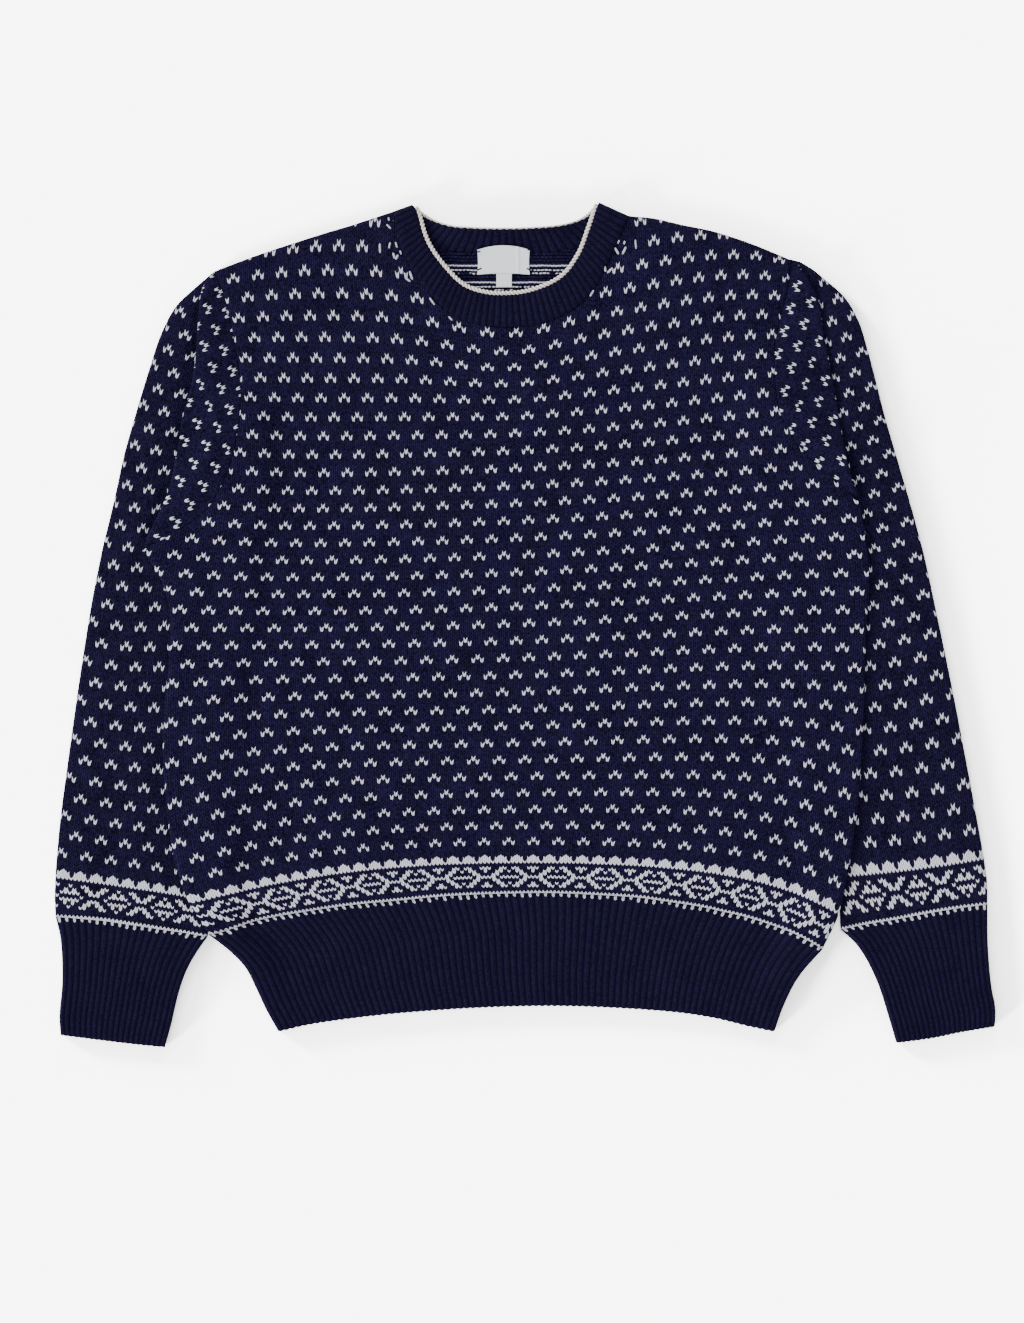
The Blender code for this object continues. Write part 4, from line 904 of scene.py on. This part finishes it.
def ridgeOf(u):
    # ridges over the even stitches: a raised cosine, filled out so that the valleys are narrow
    return (0.5 + 0.5 * np.cos(math.pi * (u - 0.5))) ** rib["fullness"]


def ribShares(ribs, near=()):
    # even columns over so many ribs, with a few more close to both ends
    return np.unique([*np.linspace(0, 1, ribs * rib["perRib"] + 1), *near, *(1 - np.array(near))])


def depthOf(plan):
    # distance down each column of a plan grid from its first row
    depth = np.linalg.norm(np.gradient(plan, axis=0), axis=2).cumsum(0)
    return depth - depth[:1]


def roundedEnd(depth, low):
    # the cast-on edge rounds over: a share of the height that falls to low at the last row
    return low + (1 - low) * turn((depth[-1:] - depth) / rib["endReach"])


def buildHemRib():
    rows = rib["hemRows"]
    left, right = atSteps(lines["hemLeft"], rows), atSteps(lines["hemRight"], rows)
    shares = ribShares(rib["hemRibs"], (0.0005, 0.0014))
    top, bottom = atShares(lines["hemSeam"], shares), atShares(lines["hemEdge"], shares)
    plan = patch(top, bottom, left, right)
    down = np.linspace(0, 1, rows + 1)[:, None]
    depth = depthOf(plan)
    uv = np.dstack([2 * rib["hemRibs"] * shares[None] - 0.5 + 0 * down, -depth / cloth["course"]])
    ridge = ridgeOf(uv[..., 0])
    raised = lift(plan[:1]) * (1 - ease(down))
    away = np.minimum(distance(plan, left), distance(plan, right))
    fall = turn(away / cloth["foldRadius"])
    along = np.minimum(depth, depth[-1:] - depth)
    ends = roundedEnd(depth, rib["hemEnd"])
    grown = rib["height"] * ridge * ease((depth + 1.0) / 6) * (0.6 + 0.4 * ease(along / 4))
    upper = raised + cloth["foldStart"] + 1.0 + (rib["wall"] + grown) * fall * ends
    lower = raised + cloth["foldStart"] + 0.5 + 0 * upper
    for row, reach in ((-1, rib["hemScallop"]), (-2, 0.3)):              # scalloped by the ribs
        plan[row, :, 1] -= reach * ridge[-1] * fall[-1]
    front = makePanel("hem_rib_front_knit", plan, upper, lower, uv, [toothedRib], values={"crown": ridge})
    tuck = rib["tuck"] * (1 - turn(away / cloth["tableRadius"]))
    under = raised + tuck + 0.35 * rib["height"] * (1 - ridge) * ease(away / 3)
    back = makePanel("hem_rib_back_knit", plan, raised + cloth["knit"] + 0 * upper, under, uv, [toothedRib],
                     values={"crown": ridge})
    return front, back


hemFront, hemBack = buildHemRib()

# ---------- sleeves ----------
sleeve = {"armRows": 100, "lowRows": 120, "firstSteps": [1.2, 3.0, 5.0, 8.0, 11.0, 14.0], "lip": 3.4, "lipRound": 2.2,
          "loft": 1.4, "seamGap": 0.02, "wallInside": 0.3, "besideLip": 1.4, "besideWidth": 6.0, "shoulderReach": 22.0,
          "capLumps": 0.25, "armLumps": 0.22, "rimRise": 0.3, "underTuck": 2.4, "hiddenTuck": 0.5}


def buildSleeve(side):
    seam = atSteps(lines["armhole" + side], sleeve["armRows"], sleeve["firstSteps"])
    hidden, count = outline["hidden" + side], sleeve["armRows"]
    leaves = int(np.argmin(np.linalg.norm(seam - hidden[0], axis=1)))
    hiddenLine = atSteps(spline([tuple(seam[leaves]), *hidden[1:]]), count - leaves)
    innerLow = atSteps(lines["hiddenLow" + side], sleeve["lowRows"])
    outLow = atSteps(lines["outLow" + side], sleeve["lowRows"])
    across = unit(outLow - innerLow)
    edge = ((atSteps(lines["side" + side], sleeve["lowRows"]) - innerLow) * across).sum(1)[:, None] + 1.2
    foldLow = innerLow + across * np.maximum(edge, 9.0)
    seamLow = innerLow + across * np.maximum(0.5 * edge, 4.5)
    inner = np.vstack([seam[:leaves], hiddenLine, innerLow[1:]])
    seam = np.vstack([seam, seamLow[1:]])
    fold = np.vstack([atSteps(lines["cap" + side], count, sleeve["firstSteps"]), foldLow[1:]])
    out = np.vstack([atSteps(lines["out" + side], count, sleeve["firstSteps"]), outLow[1:]])
    number = np.arange(len(inner))[:, None]
    outward = unit(out - inner)
    ahead = unit(np.gradient(seam, axis=0))
    clear = np.column_stack([-ahead[:, 1], ahead[:, 0]])
    clear = clear * np.sign((clear * outward).sum(1))[:, None] * sleeve["seamGap"]
    beside = leaves + 1
    inner = np.where(number < beside, seam + clear, inner)
    seam = seam + clear * np.where(number < beside, 2, 1)
    width = np.linalg.norm(fold - seam, axis=1)[:, None]
    isCap = ease((count - number) / 7.0)
    shoulder = 0.15 + 0.85 * ease(walked(seam) / sleeve["shoulderReach"])[:, None]     # the top turns down to its point

    def between(a, b, shares):
        return a[:, None] + (b - a)[:, None] * np.asarray(shares)[..., None]

    underShares = np.linspace(0, 1, 7)
    underPlan = between(inner, seam, underShares)
    start = cloth["foldStart"]
    besideZ = np.interp(underShares, [0, 0.4, 1], [1.2, start, start + 0.6])
    freeZ = np.interp(underShares, [0, 0.4, 1], [start + 0.4, twoLayers - 0.4, twoLayers - 0.1])
    underZ = np.where(number < beside, besideZ, freeZ)
    # the cap: level from the seam's groove to a rounded fold that stands over the arm below it
    capShares = np.concatenate([[0.006, 0.03, 0.07, 0.12], np.linspace(0.18, 0.86, 16)])
    lipShares = 1 - np.array([3.0, 2.0, 1.3, 0.8, 0.45, 0.2, 0.05]) / np.maximum(width, 4.5)
    capShares = np.minimum(capShares[None] + 0 * width, lipShares[:, :1] - 1e-3 * (20 - np.arange(20)))
    capShares = np.hstack([capShares, lipShares])
    capPlan = between(seam, fold, capShares)
    fromFold, fromSeam = (1 - capShares) * width, capShares * width
    high = body["sewnPuff"] + (sleeve["lip"] - body["sewnPuff"]) * ease(capShares * 1.25)
    over = high * turn(fromFold / sleeve["lipRound"]) - body["seamDip"] * np.exp(-(fromSeam / body["seamWidth"]) ** 2)
    over = over + sleeve["capLumps"] * waves(capPlan, 11, 30.0) * ease(fromFold / 10) * ease(fromSeam / 8)
    over = np.minimum(over, 0.6 * width + 0.2)
    capZ = twoLayers + (lift(capPlan) + over) * isCap
    # the arm: puffed, with folds, rounded down to the silhouette
    armShares = np.concatenate([[0.0, 0.008, 0.02, 0.04], np.linspace(0.07, 0.9, 30),
                                [0.925, 0.95, 0.968, 0.98, 0.988, 0.994, 0.998, 1.0]])
    armPlan = between(fold + (out - fold) * 0.004, out, armShares[None])
    fromEdge = np.linalg.norm(armPlan - out[:, None], axis=2)
    fromFold = np.linalg.norm(armPlan - fold[:, None], axis=2)
    inland = ease(fromEdge / 25)
    puff = sleeve["loft"] * inland * ease((armShares + 0.05) / 0.35)
    puff = puff + folded(armPlan, sleeveFolds) * inland * ease(armShares / 0.3)
    puff = puff + sleeve["armLumps"] * waves(armPlan, 13, 34.0) * ease(fromEdge / 14) * ease(fromFold / 10)
    puff = puff - sleeve["besideLip"] * np.exp(-(fromFold / sleeve["besideWidth"]) ** 2) * isCap
    edgeZ = start + sleeve["rimRise"]
    armZ = edgeZ + (twoLayers + puff - edgeZ) * turn(fromEdge / cloth["foldRadius"])
    belowShares = np.concatenate([[0.003, 0.01, 0.025], np.linspace(0.06, 0.94, 12), [0.975, 0.99, 0.997]])
    belowPlan = between(out, inner, belowShares[None])
    slim = np.linalg.norm(out - inner, axis=1)[:, None]
    belowZ = sleeve["underTuck"] * (1 - turn(belowShares * slim / 2.2))
    belowZ = belowZ + sleeve["hiddenTuck"] * (1 - turn((1 - belowShares) * slim / 1.5))
    plan = np.concatenate([underPlan, capPlan, armPlan, belowPlan], 1)
    # the end bends to the cuff's seam
    whole = ((plan - inner[:, None]) * outward[:, None]).sum(2) / slim
    shares = np.linspace(0, 1, 41)
    bend = atShares(lines["cuffSeam" + side], shares) - (inner[-1] + (out[-1] - inner[-1]) * shares[:, None])
    plan[..., 1] += np.interp(whole, shares, bend[:, 1]) * ease((number - len(inner) + 31) / 30)
    topZ = np.concatenate([underZ, capZ, armZ], 1)
    topZ = edgeZ + (topZ - edgeZ) * np.where(topZ > edgeZ, shoulder, 1.0)
    z = np.concatenate([topZ, belowZ], 1)
    outer = np.dstack([plan, z])
    # the plain inside, on two level faces drawn in by the wall
    share = ((plan - inner[:, None]) * outward[:, None]).sum(2) / slim
    draw = np.minimum(cloth["knit"], sleeve["wallInside"] * slim) / slim
    flat = between(inner, out, draw + share.clip(0, 1) * (1 - 2 * draw))
    upperSide = np.arange(plan.shape[1]) < topZ.shape[1]
    level = cloth["knit"] + 0.5 * upperSide * turn(np.minimum(share, 1 - share).clip(0) * slim / 2.0)
    inside3 = np.dstack([flat, level])
    # stitches: the cap has its own run of marks, the arm the other, which goes on round underneath
    capUv = stitchesOf["cap" + side](plan)
    armUv = stitchesOf["arm" + side](plan)
    armUv[:, topZ.shape[1]:] = 2 * stitchesOf["arm" + side](out)[:, None] - armUv[:, topZ.shape[1]:]
    stations, around = plan.shape[:2]
    faces = tubeFaces(stations, around)
    capEnd = underPlan.shape[1] + capPlan.shape[1]
    row, column = np.divmod(faces % (stations * around), around)
    onCap = (column.max(1) <= capEnd - 1) & (row.max(1) <= count)
    both = np.concatenate([armUv.reshape(-1, 2)] * 2)
    caps = np.concatenate([capUv.reshape(-1, 2)] * 2)
    uv = np.where(onCap[:, None, None], caps[faces], both[faces]).reshape(-1, 2)
    points = np.vstack([outer.reshape(-1, 3), inside3.reshape(-1, 3)])
    above = np.concatenate([aboveSeam(plan, "cuffSeam" + side).ravel()] * 2)
    return makePiece("sleeve_" + side.lower() + "_knit", points, faces, uv, [sleeveKnit, capKnit], onCap,
                     {"above": above})


sleeveLeft = buildSleeve("Left")
sleeveRight = buildSleeve("Right")
print("sleeves made")


# ---------- cuffs ----------
def buildCuff(side):
    # ribbed tube: over the top from the inner side to the outer one, then back underneath
    edge, out, inner = lines["cuffEdge" + side][::-1], lines["cuffOut" + side], lines["cuffIn" + side]
    left, right = atSteps(inner, rib["cuffRows"]), atSteps(out, rib["cuffRows"])
    shares = ribShares(rib["cuffRibs"], (0.001, 0.003))
    plan = patch(atShares(lines["cuffSeam" + side], shares), atShares(edge, shares), left, right)
    turns = 2 * rib["cuffRibs"] * shares - 0.5
    depth = depthOf(plan)
    uv = np.dstack([turns[None] + 0 * depth, -depth / cloth["course"]])
    ridge = ridgeOf(uv[..., 0])
    away = np.minimum(distance(plan, left), distance(plan, right))
    start = cloth["foldStart"] + 0.3
    ends = roundedEnd(depth, rib["cuffEnd"])
    grown = rib["height"] * ridge * ease((depth + 1.0) / 6)
    z = start + (twoLayers - start + grown) * turn(away / 4) * ends
    push = unit(edge[-1] - edge[0])
    plan[-1] += rib["cuffScallop"] * (ridge[-1] * turn(away[-1] / 4))[:, None] * np.array([push[1], -push[0]])
    backShares = np.concatenate([[0.997, 0.99, 0.975], np.linspace(0.95, 0.05, 70), [0.025, 0.01, 0.003]])
    backPlan = np.stack([atShares(row, backShares) for row in plan])
    backAway = np.minimum(distance(backPlan, left), distance(backPlan, right))
    backZ = 2.2 * (1 - turn(backAway / 2.2)) + 0 * backPlan[..., 0]
    backTurns = 2 * turns[-1] - np.interp(backShares, shares, turns)
    backV = np.stack([np.interp(backShares, shares, v) for v in uv[..., 1]])
    backUv = np.dstack([backTurns[None] + 0 * backZ, backV])
    full = np.concatenate([np.dstack([plan, z]), np.dstack([backPlan, backZ])], 1)
    fullUv = np.concatenate([uv, backUv], 1)
    crown = np.concatenate([ridge, ridgeOf(backUv[..., 0])], 1)
    first, last = full[:, :1, :2], full[:, plan.shape[1] - 1:plan.shape[1], :2]
    width = np.linalg.norm(last - first, axis=2)
    share = (((full[..., :2] - first) * (last - first)).sum(2) / width ** 2).clip(0, 1)
    draw = cloth["knit"] / width
    moved = (draw + share * (1 - 2 * draw) - share)[..., None] * (last - first)
    upperSide = np.arange(full.shape[1]) < plan.shape[1]
    level = cloth["knit"] + 0.5 * upperSide * turn(np.minimum(share, 1 - share) * width / 2)
    innerRing = np.dstack([full[..., :2] + moved, level])
    points = np.vstack([full.reshape(-1, 3), innerRing.reshape(-1, 3)])
    return makePiece("cuff_" + side.lower() + "_rib", points, tubeFaces(*full.shape[:2]),
                     np.concatenate([fullUv.reshape(-1, 2)] * 2), [toothedRib],
                     values={"crown": np.concatenate([crown.ravel()] * 2)})


cuffLeft, cuffRight = buildCuff("Left"), buildCuff("Right")
print("cuffs made")


# ---------- neckband ----------
neckband = {"frontDeep": 27.0, "base": 3.6, "roll": 4.0, "crown": 0.9, "underneath": 3.0, "underRise": 2.0,
            "backDeep": 19.0, "backRise": 9.0, "backWall": 1.7}


def bandGrid(side, ribs, deep):
    # shares along, shares down, plan, stitches and ridges of a band from the neck seam to its free edge
    shares, down = ribShares(ribs), np.linspace(0, 1, rib["bandRows"] + 1)[:, None]
    seam, edge = atShares(lines["neck" + side], shares), atShares(lines["band" + side], shares)
    plan = patch(seam, edge, *(seam[k] + (edge[k] - seam[k]) * down for k in (0, -1)))
    uv = np.dstack([2 * ribs * shares[None] - 0.5 + 0 * down, deep * down / cloth["course"] + 0 * shares[None]])
    return shares, down, plan, uv, ridgeOf(uv[..., 0])


def buildBandFront():
    # a low rounded roll: up from the seam's groove, over a crown, down to the free edge
    deep = neckband["frontDeep"]
    shares, down, plan, uv, ridge = bandGrid("Front", rib["neckRibs"], deep)
    away = np.minimum(distance(plan, plan[:, 0]), distance(plan, plan[:, -1]))
    crown = neckband["crown"] * (np.sin(math.pi * down ** 0.8) - 1 + turn(down * deep / 2.5))
    crown = crown - 0.6 * (1 - turn((1 - down) * deep / 2.0))
    grown = rib["height"] * ridge * (0.35 + 0.65 * ease(down * deep / 4)) * (0.6 + 0.4 * ease((1 - down) * deep / 3))
    upper = neckband["base"] + (neckband["roll"] + crown + grown) * turn(away / 7)
    lower = np.minimum(neckband["underneath"] + neckband["underRise"] * ease(away / 20), upper - 0.4)
    return makePanel("neckband_front_rib", plan, upper, lower, uv, [plainRib], values={"crown": ridge})


def buildBandBack():
    # the inside of the band: a slope that rises to the free edge and rolls over there
    deep = neckband["backDeep"]
    shares, down, plan, uv, ridge = bandGrid("Back", rib["backNeckRibs"], deep)
    fromEnd = np.minimum(shares, 1 - shares)
    ends = ease(fromEnd / 0.12)
    rise = neckband["backRise"] * down ** 1.4 * ease(fromEnd / 0.3)
    roll = 1 - 0.5 * (1 - turn((1 - down) * deep / 1.8))
    upper = rise + (neckband["backWall"] + ridge * rib["height"] * ends) * roll
    for row, reach in ((-1, 0.7), (-2, 0.4)):             # scalloped by the ribs
        plan[row, :, 1] += reach * (ridge[-1] - 0.6) * ends
    return makePanel("neckband_back_rib", plan, upper, rise, uv, [plainRib], values={"crown": ridge})


bandFront, bandBack = buildBandFront(), buildBandBack()
print("neckband made")

# ---------- tipping: a cream cord along the neckband's free edge ----------
tipping = {"radius": 1.8, "backRadius": 1.0, "tuck": 0.45, "low": 1.95, "twist": 3.3, "sides": 14, "step": 0.38}


def offset(line, amount):
    ahead = unit(np.gradient(line, axis=0))
    return line + amount * np.column_stack([-ahead[:, 1], ahead[:, 0]])


def buildTipping(finish):
    # a closed tube whose radius swells in two slanting strands; its frame is carried along. It is
    # full at the front and slim at the back, where it is tucked under the ribs' ends.
    thick, slim, low = tipping["radius"], tipping["backRadius"], tipping["low"]
    front = offset(lines["bandFront"], thick - tipping["tuck"])
    back = offset(lines["bandBack"], slim - tipping["tuck"])
    front = atShares(front, np.linspace(0.03, 0.978, 31))
    back = atShares(back, np.linspace(0.975, 0.025, 21))
    u, w = np.linspace(0, 1, len(front)), np.linspace(0, 1, len(back))
    frontZ = 3 * low + 1.2 * ease(np.minimum(u, 1 - u) / 0.08)
    backZ = low + 6.9 * ease(np.minimum(w, 1 - w) / 0.3)
    backR = slim + (thick - slim) * (1 - ease(np.minimum(w, 1 - w) / 0.1)) * 0.8
    tips = []
    for end, before in ((-1, -2), (0, 1)):
        heading = unit(unit(front[end] - front[before]) + unit(back[-1 - end] - back[-1 - before]))
        angle = np.radians([45, 90, 135])[::1 if end else -1, None]
        middle = (front[end] + back[-1 - end]) / 2
        around = middle + low * np.sin(angle) * heading
        tips.append(np.hstack([around, 2 * low + low * np.cos(angle), thick + 0 * angle]))
    path = np.vstack([np.column_stack([front, frontZ, thick + 0 * u]), tips[0],
                      np.column_stack([back, backZ, backR]), tips[1]])
    path = spline(np.vstack([path, path[:1]]), 24)
    long = walked(path[:, :3])
    count = int(long[-1] / tipping["step"])
    want = np.linspace(0, long[-1], count, endpoint=False)
    path = np.stack([np.interp(want, long, path[:, k]) for k in range(4)], 1)
    path, radius = path[:, :3], path[:, 3:]
    ahead = unit(np.roll(path, -1, 0) - np.roll(path, 1, 0))
    up = unit(np.array([0, 0, 1.0]) - ahead * ahead[:, 2:])
    side = unit(np.cross(ahead, up))
    angle = np.linspace(0, 2 * math.pi, tipping["sides"], endpoint=False)
    turns = round(long[-1] / tipping["twist"])
    phase = 2 * math.pi * turns * np.arange(count) / count
    swell = radius * (0.9 + 0.2 * np.cos(2 * angle[None] + phase[:, None]))
    spoke = np.cos(angle)[None, :, None] * side[:, None] + np.sin(angle)[None, :, None] * up[:, None]
    ring = path[:, None] + swell[..., None] * spoke
    number = np.arange(count * len(angle)).reshape(count, len(angle))
    number = np.vstack([number, number[:1]])
    number = np.hstack([number, number[:, :1]])
    along = want[:, None] / tipping["twist"]
    uv = np.dstack([along + 0 * angle[None], angle[None] / (2 * math.pi) + 0 * along])
    return makePiece("neck_tipping_cord", ring.reshape(-1, 3), cells(number), uv.reshape(-1, 2), [finish])


def strandWool(name, yarn, deep, sheen):
    # two strands wound round each other: the wave runs twice round the cord and once along each turn, and paints shade
    # into the groove between the strands
    material, tree, shader = newMaterial(name, 0.9, sheen, (1, 1, 1, 1))
    u, v, _ = parts(stitchMap(tree))
    wave = calc("COSINE", (v * 2.0 + u) * (2 * math.pi))
    made = useGroup(tree, woolAndGapShadeGroup, Position=position(tree), Yarn=wool[yarn], Deep=wool[deep],
                    Gap=span(wave, -1.0, -0.1, 0.1, 1.0), Mottle=0.4)
    finishWith(shader, made["Color"], made["Fibre"] * 0.3 + wave, 0.0003)
    return material


cord = buildTipping(strandWool("creamTipping", "cream", "creamGapShade", 0.15))

# ---------- labels ----------
label = {"size": (44.0, 20.6), "at": (-18.9, 304.9), "arch": 3.6, "hollow": 1.1, "foot": 310.5, "crease": -6.7,
         "rise": 0.6, "tabSize": (13.2, 12.0), "tabAt": (-18.5, 290.1), "tabRise": 0.1, "thick": 0.4,
         "threads": [(-41.2, 313.2, -38.2, 313.9, 0.55), (1.0, 315.0, 3.6, 315.4, 0.55),
                     (-41.0, 298.4, -37.0, 300.3, 0.6), (0.4, 300.0, 3.8, 298.4, 0.6)]}


def labelSatin():
    # fine bands of weft on a soft white
    material, tree, shader = newMaterial("labelSatin", 0.5, 0.1, (1, 1, 1, 1))
    where = position(tree)
    weft = tree.nodes.new("ShaderNodeTexWave")
    weft.bands_direction = "Y"
    feed(weft.inputs["Scale"], 800.0)
    feed(weft.inputs["Vector"], where)
    colour = blendColour(noise(where, 900.0)[0], (0.89, 0.91, 0.99, 1), (0.93, 0.95, 1.0, 1))
    finishWith(shader, colour, Wire(weft.outputs["Fac"]), 0.00008)
    return material


def buildLabel(name, centre, size, arch, hollow, rise, finish):
    # a thin plate with a bowed top that climbs the band's foot, a hollow bottom and one faint crease
    u, v = np.linspace(-1, 1, 89), np.linspace(0, 1, 25)[:, None]
    bow = 1 - u[None] ** 2
    x = centre[0] + u[None] * size[0] / 2 * (1 - 0.025 * np.sin(math.pi * v))
    y = centre[1] - size[1] / 2 + (1 - v) * hollow * bow + v * (size[1] + arch * bow)
    z = cloth["knit"] + rise + 0.36 * (y - label["foot"]).clip(0) + 0.12 * (1 + np.sin(2.5 * u[None] + 1)) * (1 - v)
    z = z + 0.5 * np.exp(-((x - label["crease"]) / 1.3) ** 2)
    plan = np.dstack([x, y])
    return makePanel(name, plan, z + label["thick"], z, plan / 3.0, [finish])


def buildStrands(name, piece, rows, proud, finish):
    # short rounded strands that lie on a piece: from x, y to x, y, half width; ends drawn to a point
    spots = np.zeros(3 * len(piece.data.vertices))
    piece.data.vertices.foreach_get("co", spots)
    spots = spots.reshape(-1, 3) * 1000 + np.append(cloth["middle"], 0.0)
    u, angle = np.linspace(0, 1, 11)[:, None], np.linspace(0, 2 * math.pi, 8, endpoint=False)[None]
    number = np.arange(u.size * angle.size).reshape(u.size, angle.size)
    ring = np.hstack([number, number[:, :1]])
    caps = [[end[0], end[k], end[k + 1]][::way] for end, way in ((number[0], 1), (number[-1], -1))
            for k in range(1, angle.size - 1)]
    one = np.concatenate([cells(ring), np.array(caps)])
    points, faces, uv = [], [], []
    for x0, y0, x1, y1, half in rows:
        long = math.hypot(x1 - x0, y1 - y0)
        near = np.hypot(spots[:, 0] - (x0 + x1) / 2, spots[:, 1] - (y0 + y1) / 2) < 3.0
        size = half * (0.08 + 0.92 * np.sqrt(np.maximum(0, 1 - (2 * u - 1) ** 4)))
        aside, high = size * np.cos(angle), 0.55 * size * np.sin(angle) + spots[near, 2].max() + proud
        x = x0 + (x1 - x0) * u - (y1 - y0) / long * aside
        y = y0 + (y1 - y0) * u + (x1 - x0) / long * aside
        faces.append(one + number.size * len(points))
        points.append(np.dstack([x, y, high]).reshape(-1, 3))
        uv.append(np.dstack([u * long / 1.6 + 0 * angle, angle / (2 * math.pi) + 0 * u]).reshape(-1, 2))
    return makePiece(name, np.vstack(points), np.concatenate(faces), np.vstack(uv), [finish])


satin = labelSatin()
neckLabel = buildLabel("neck_label_satin", label["at"], label["size"], label["arch"], label["hollow"], label["rise"],
                       satin)
sizeTab = buildLabel("size_tab_satin", label["tabAt"], label["tabSize"], 0.0, 0.0, label["tabRise"], satin)
looseWhite = buildStrands("loose_white_stitches", front, looseStitches["white"], 0.1,
                          strandWool("looseWool", "white", "whiteGapShade", 0.02))
labelThreads = buildStrands("label_threads", neckLabel, label["threads"], 0.05,
                            strandWool("threadNavy", "rib", "ribGapShade", 0.02))
print("neck trims made")

# ---------- what stands for what ----------
standing = [
    (front, "front", "stranded_knit"), (back, "back", "stranded_knit"), (hemFront, "hem_rib_front", "navy_rib"),
    (hemBack, "hem_rib_back", "navy_rib"), (sleeveLeft, "sleeve_left", "stranded_knit"),
    (sleeveRight, "sleeve_right", "stranded_knit"), (cuffLeft, "cuff_left", "navy_rib"),
    (cuffRight, "cuff_right", "navy_rib"), (bandFront, "neckband_front", "navy_rib"),
    (bandBack, "neckband_back", "navy_rib"), (cord, "neck_tipping", "cream_tipping"),
    (neckLabel, "neck_label", "label_satin"), (sizeTab, "size_tab", "label_satin"),
    (looseWhite, None, "stranded_knit"), (labelThreads, None, "navy_rib"),
]
for piece, node, slot in standing:
    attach(piece, "root")
    if node:
        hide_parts(node)

# ---------- floor, light and camera ----------
studio = {"floor": (0.35, 0.35, 0.35, 1), "paper": (1.75, 1.75, 1.75, 1), "view": (-0.0109, -0.0309), "height": 2.167,
          "lens": 70, "ambient": 0.95, "reach": 60.0,
          "suns": [("softKey", (-0.91, 0.02, 0.42), 36.0, 2.5), ("fillAbove", (-0.42, 0.80, 0.42), 34.0, 1.25),
                   ("fillBelow", (-0.42, -0.80, 0.42), 34.0, 1.25)],
          "floorSuns": [("lowAbove", (-0.80, 0.60, 0.16), 9.0, 21.5), ("lowBelow", (-0.80, -0.60, 0.16), 9.0, 21.5),
                        ("farAbove", (0.04, 0.97, 0.27), 16.0, 4.2), ("farBelow", (0.04, -0.97, 0.27), 16.0, 4.2)]}


def makeFloor():
    # one wide square just below the cloth; the camera sees it as lit paper, near white
    corners = [(x * studio["reach"], y * studio["reach"], -0.0004) for x, y in ((-1, -1), (1, -1), (1, 1), (-1, 1))]
    mesh = bpy.data.meshes.new("studioFloor")
    mesh.from_pydata(corners, [], [(0, 1, 2, 3)])
    material, tree, shader = newMaterial("paleFloor", 0.9, 0.0, (1, 1, 1, 1))
    shader.inputs["Base Color"].default_value = studio["floor"]
    paper = tree.nodes.new("ShaderNodeBsdfDiffuse")
    paper.inputs["Color"].default_value = studio["paper"]
    seen = tree.nodes.new("ShaderNodeLightPath").outputs["Is Camera Ray"]
    either = tree.nodes.new("ShaderNodeMixShader")
    for socket, source in zip(either.inputs, (seen, shader.outputs[0], paper.outputs[0])):
        feed(socket, Wire(source))
    feed(tree.nodes["Material Output"].inputs["Surface"], Wire(either.outputs[0]))
    mesh.materials.append(material)
    floor = bpy.data.objects.new("studioFloor", mesh)
    bpy.context.scene.collection.objects.link(floor)
    return floor


def makeLight(name, toward, angle, strength):
    # a broad soft sun: every part of the table gets the same light
    lamp = bpy.data.lights.new(name, "SUN")
    lamp.angle = math.radians(angle)
    lamp.energy = strength
    light = bpy.data.objects.new(name, lamp)
    light.rotation_euler = (math.atan2(math.hypot(toward[0], toward[1]), toward[2]), 0,
                            math.atan2(-toward[1], -toward[0]) - math.pi / 2)
    bpy.context.scene.collection.objects.link(light)
    return light


lit = bpy.data.collections.new("litFloor")
lit.objects.link(makeFloor())
for sun in studio["suns"]:
    makeLight(*sun)
for sun in studio["floorSuns"]:                           # low suns that only the floor receives
    makeLight(*sun).light_linking.receiver_collection = lit
world = bpy.data.worlds.new("studio")
world.use_nodes = True
world.node_tree.nodes["Background"].inputs["Color"].default_value = (1, 1, 1, 1)
world.node_tree.nodes["Background"].inputs["Strength"].default_value = studio["ambient"]
bpy.context.scene.world = world

eye = bpy.data.cameras.new("overhead")
eye.lens = studio["lens"]
eye.sensor_width = 36
camera = bpy.data.objects.new("overhead", eye)
camera.location = (*studio["view"], studio["height"])
bpy.context.scene.collection.objects.link(camera)
bpy.context.scene.camera = camera
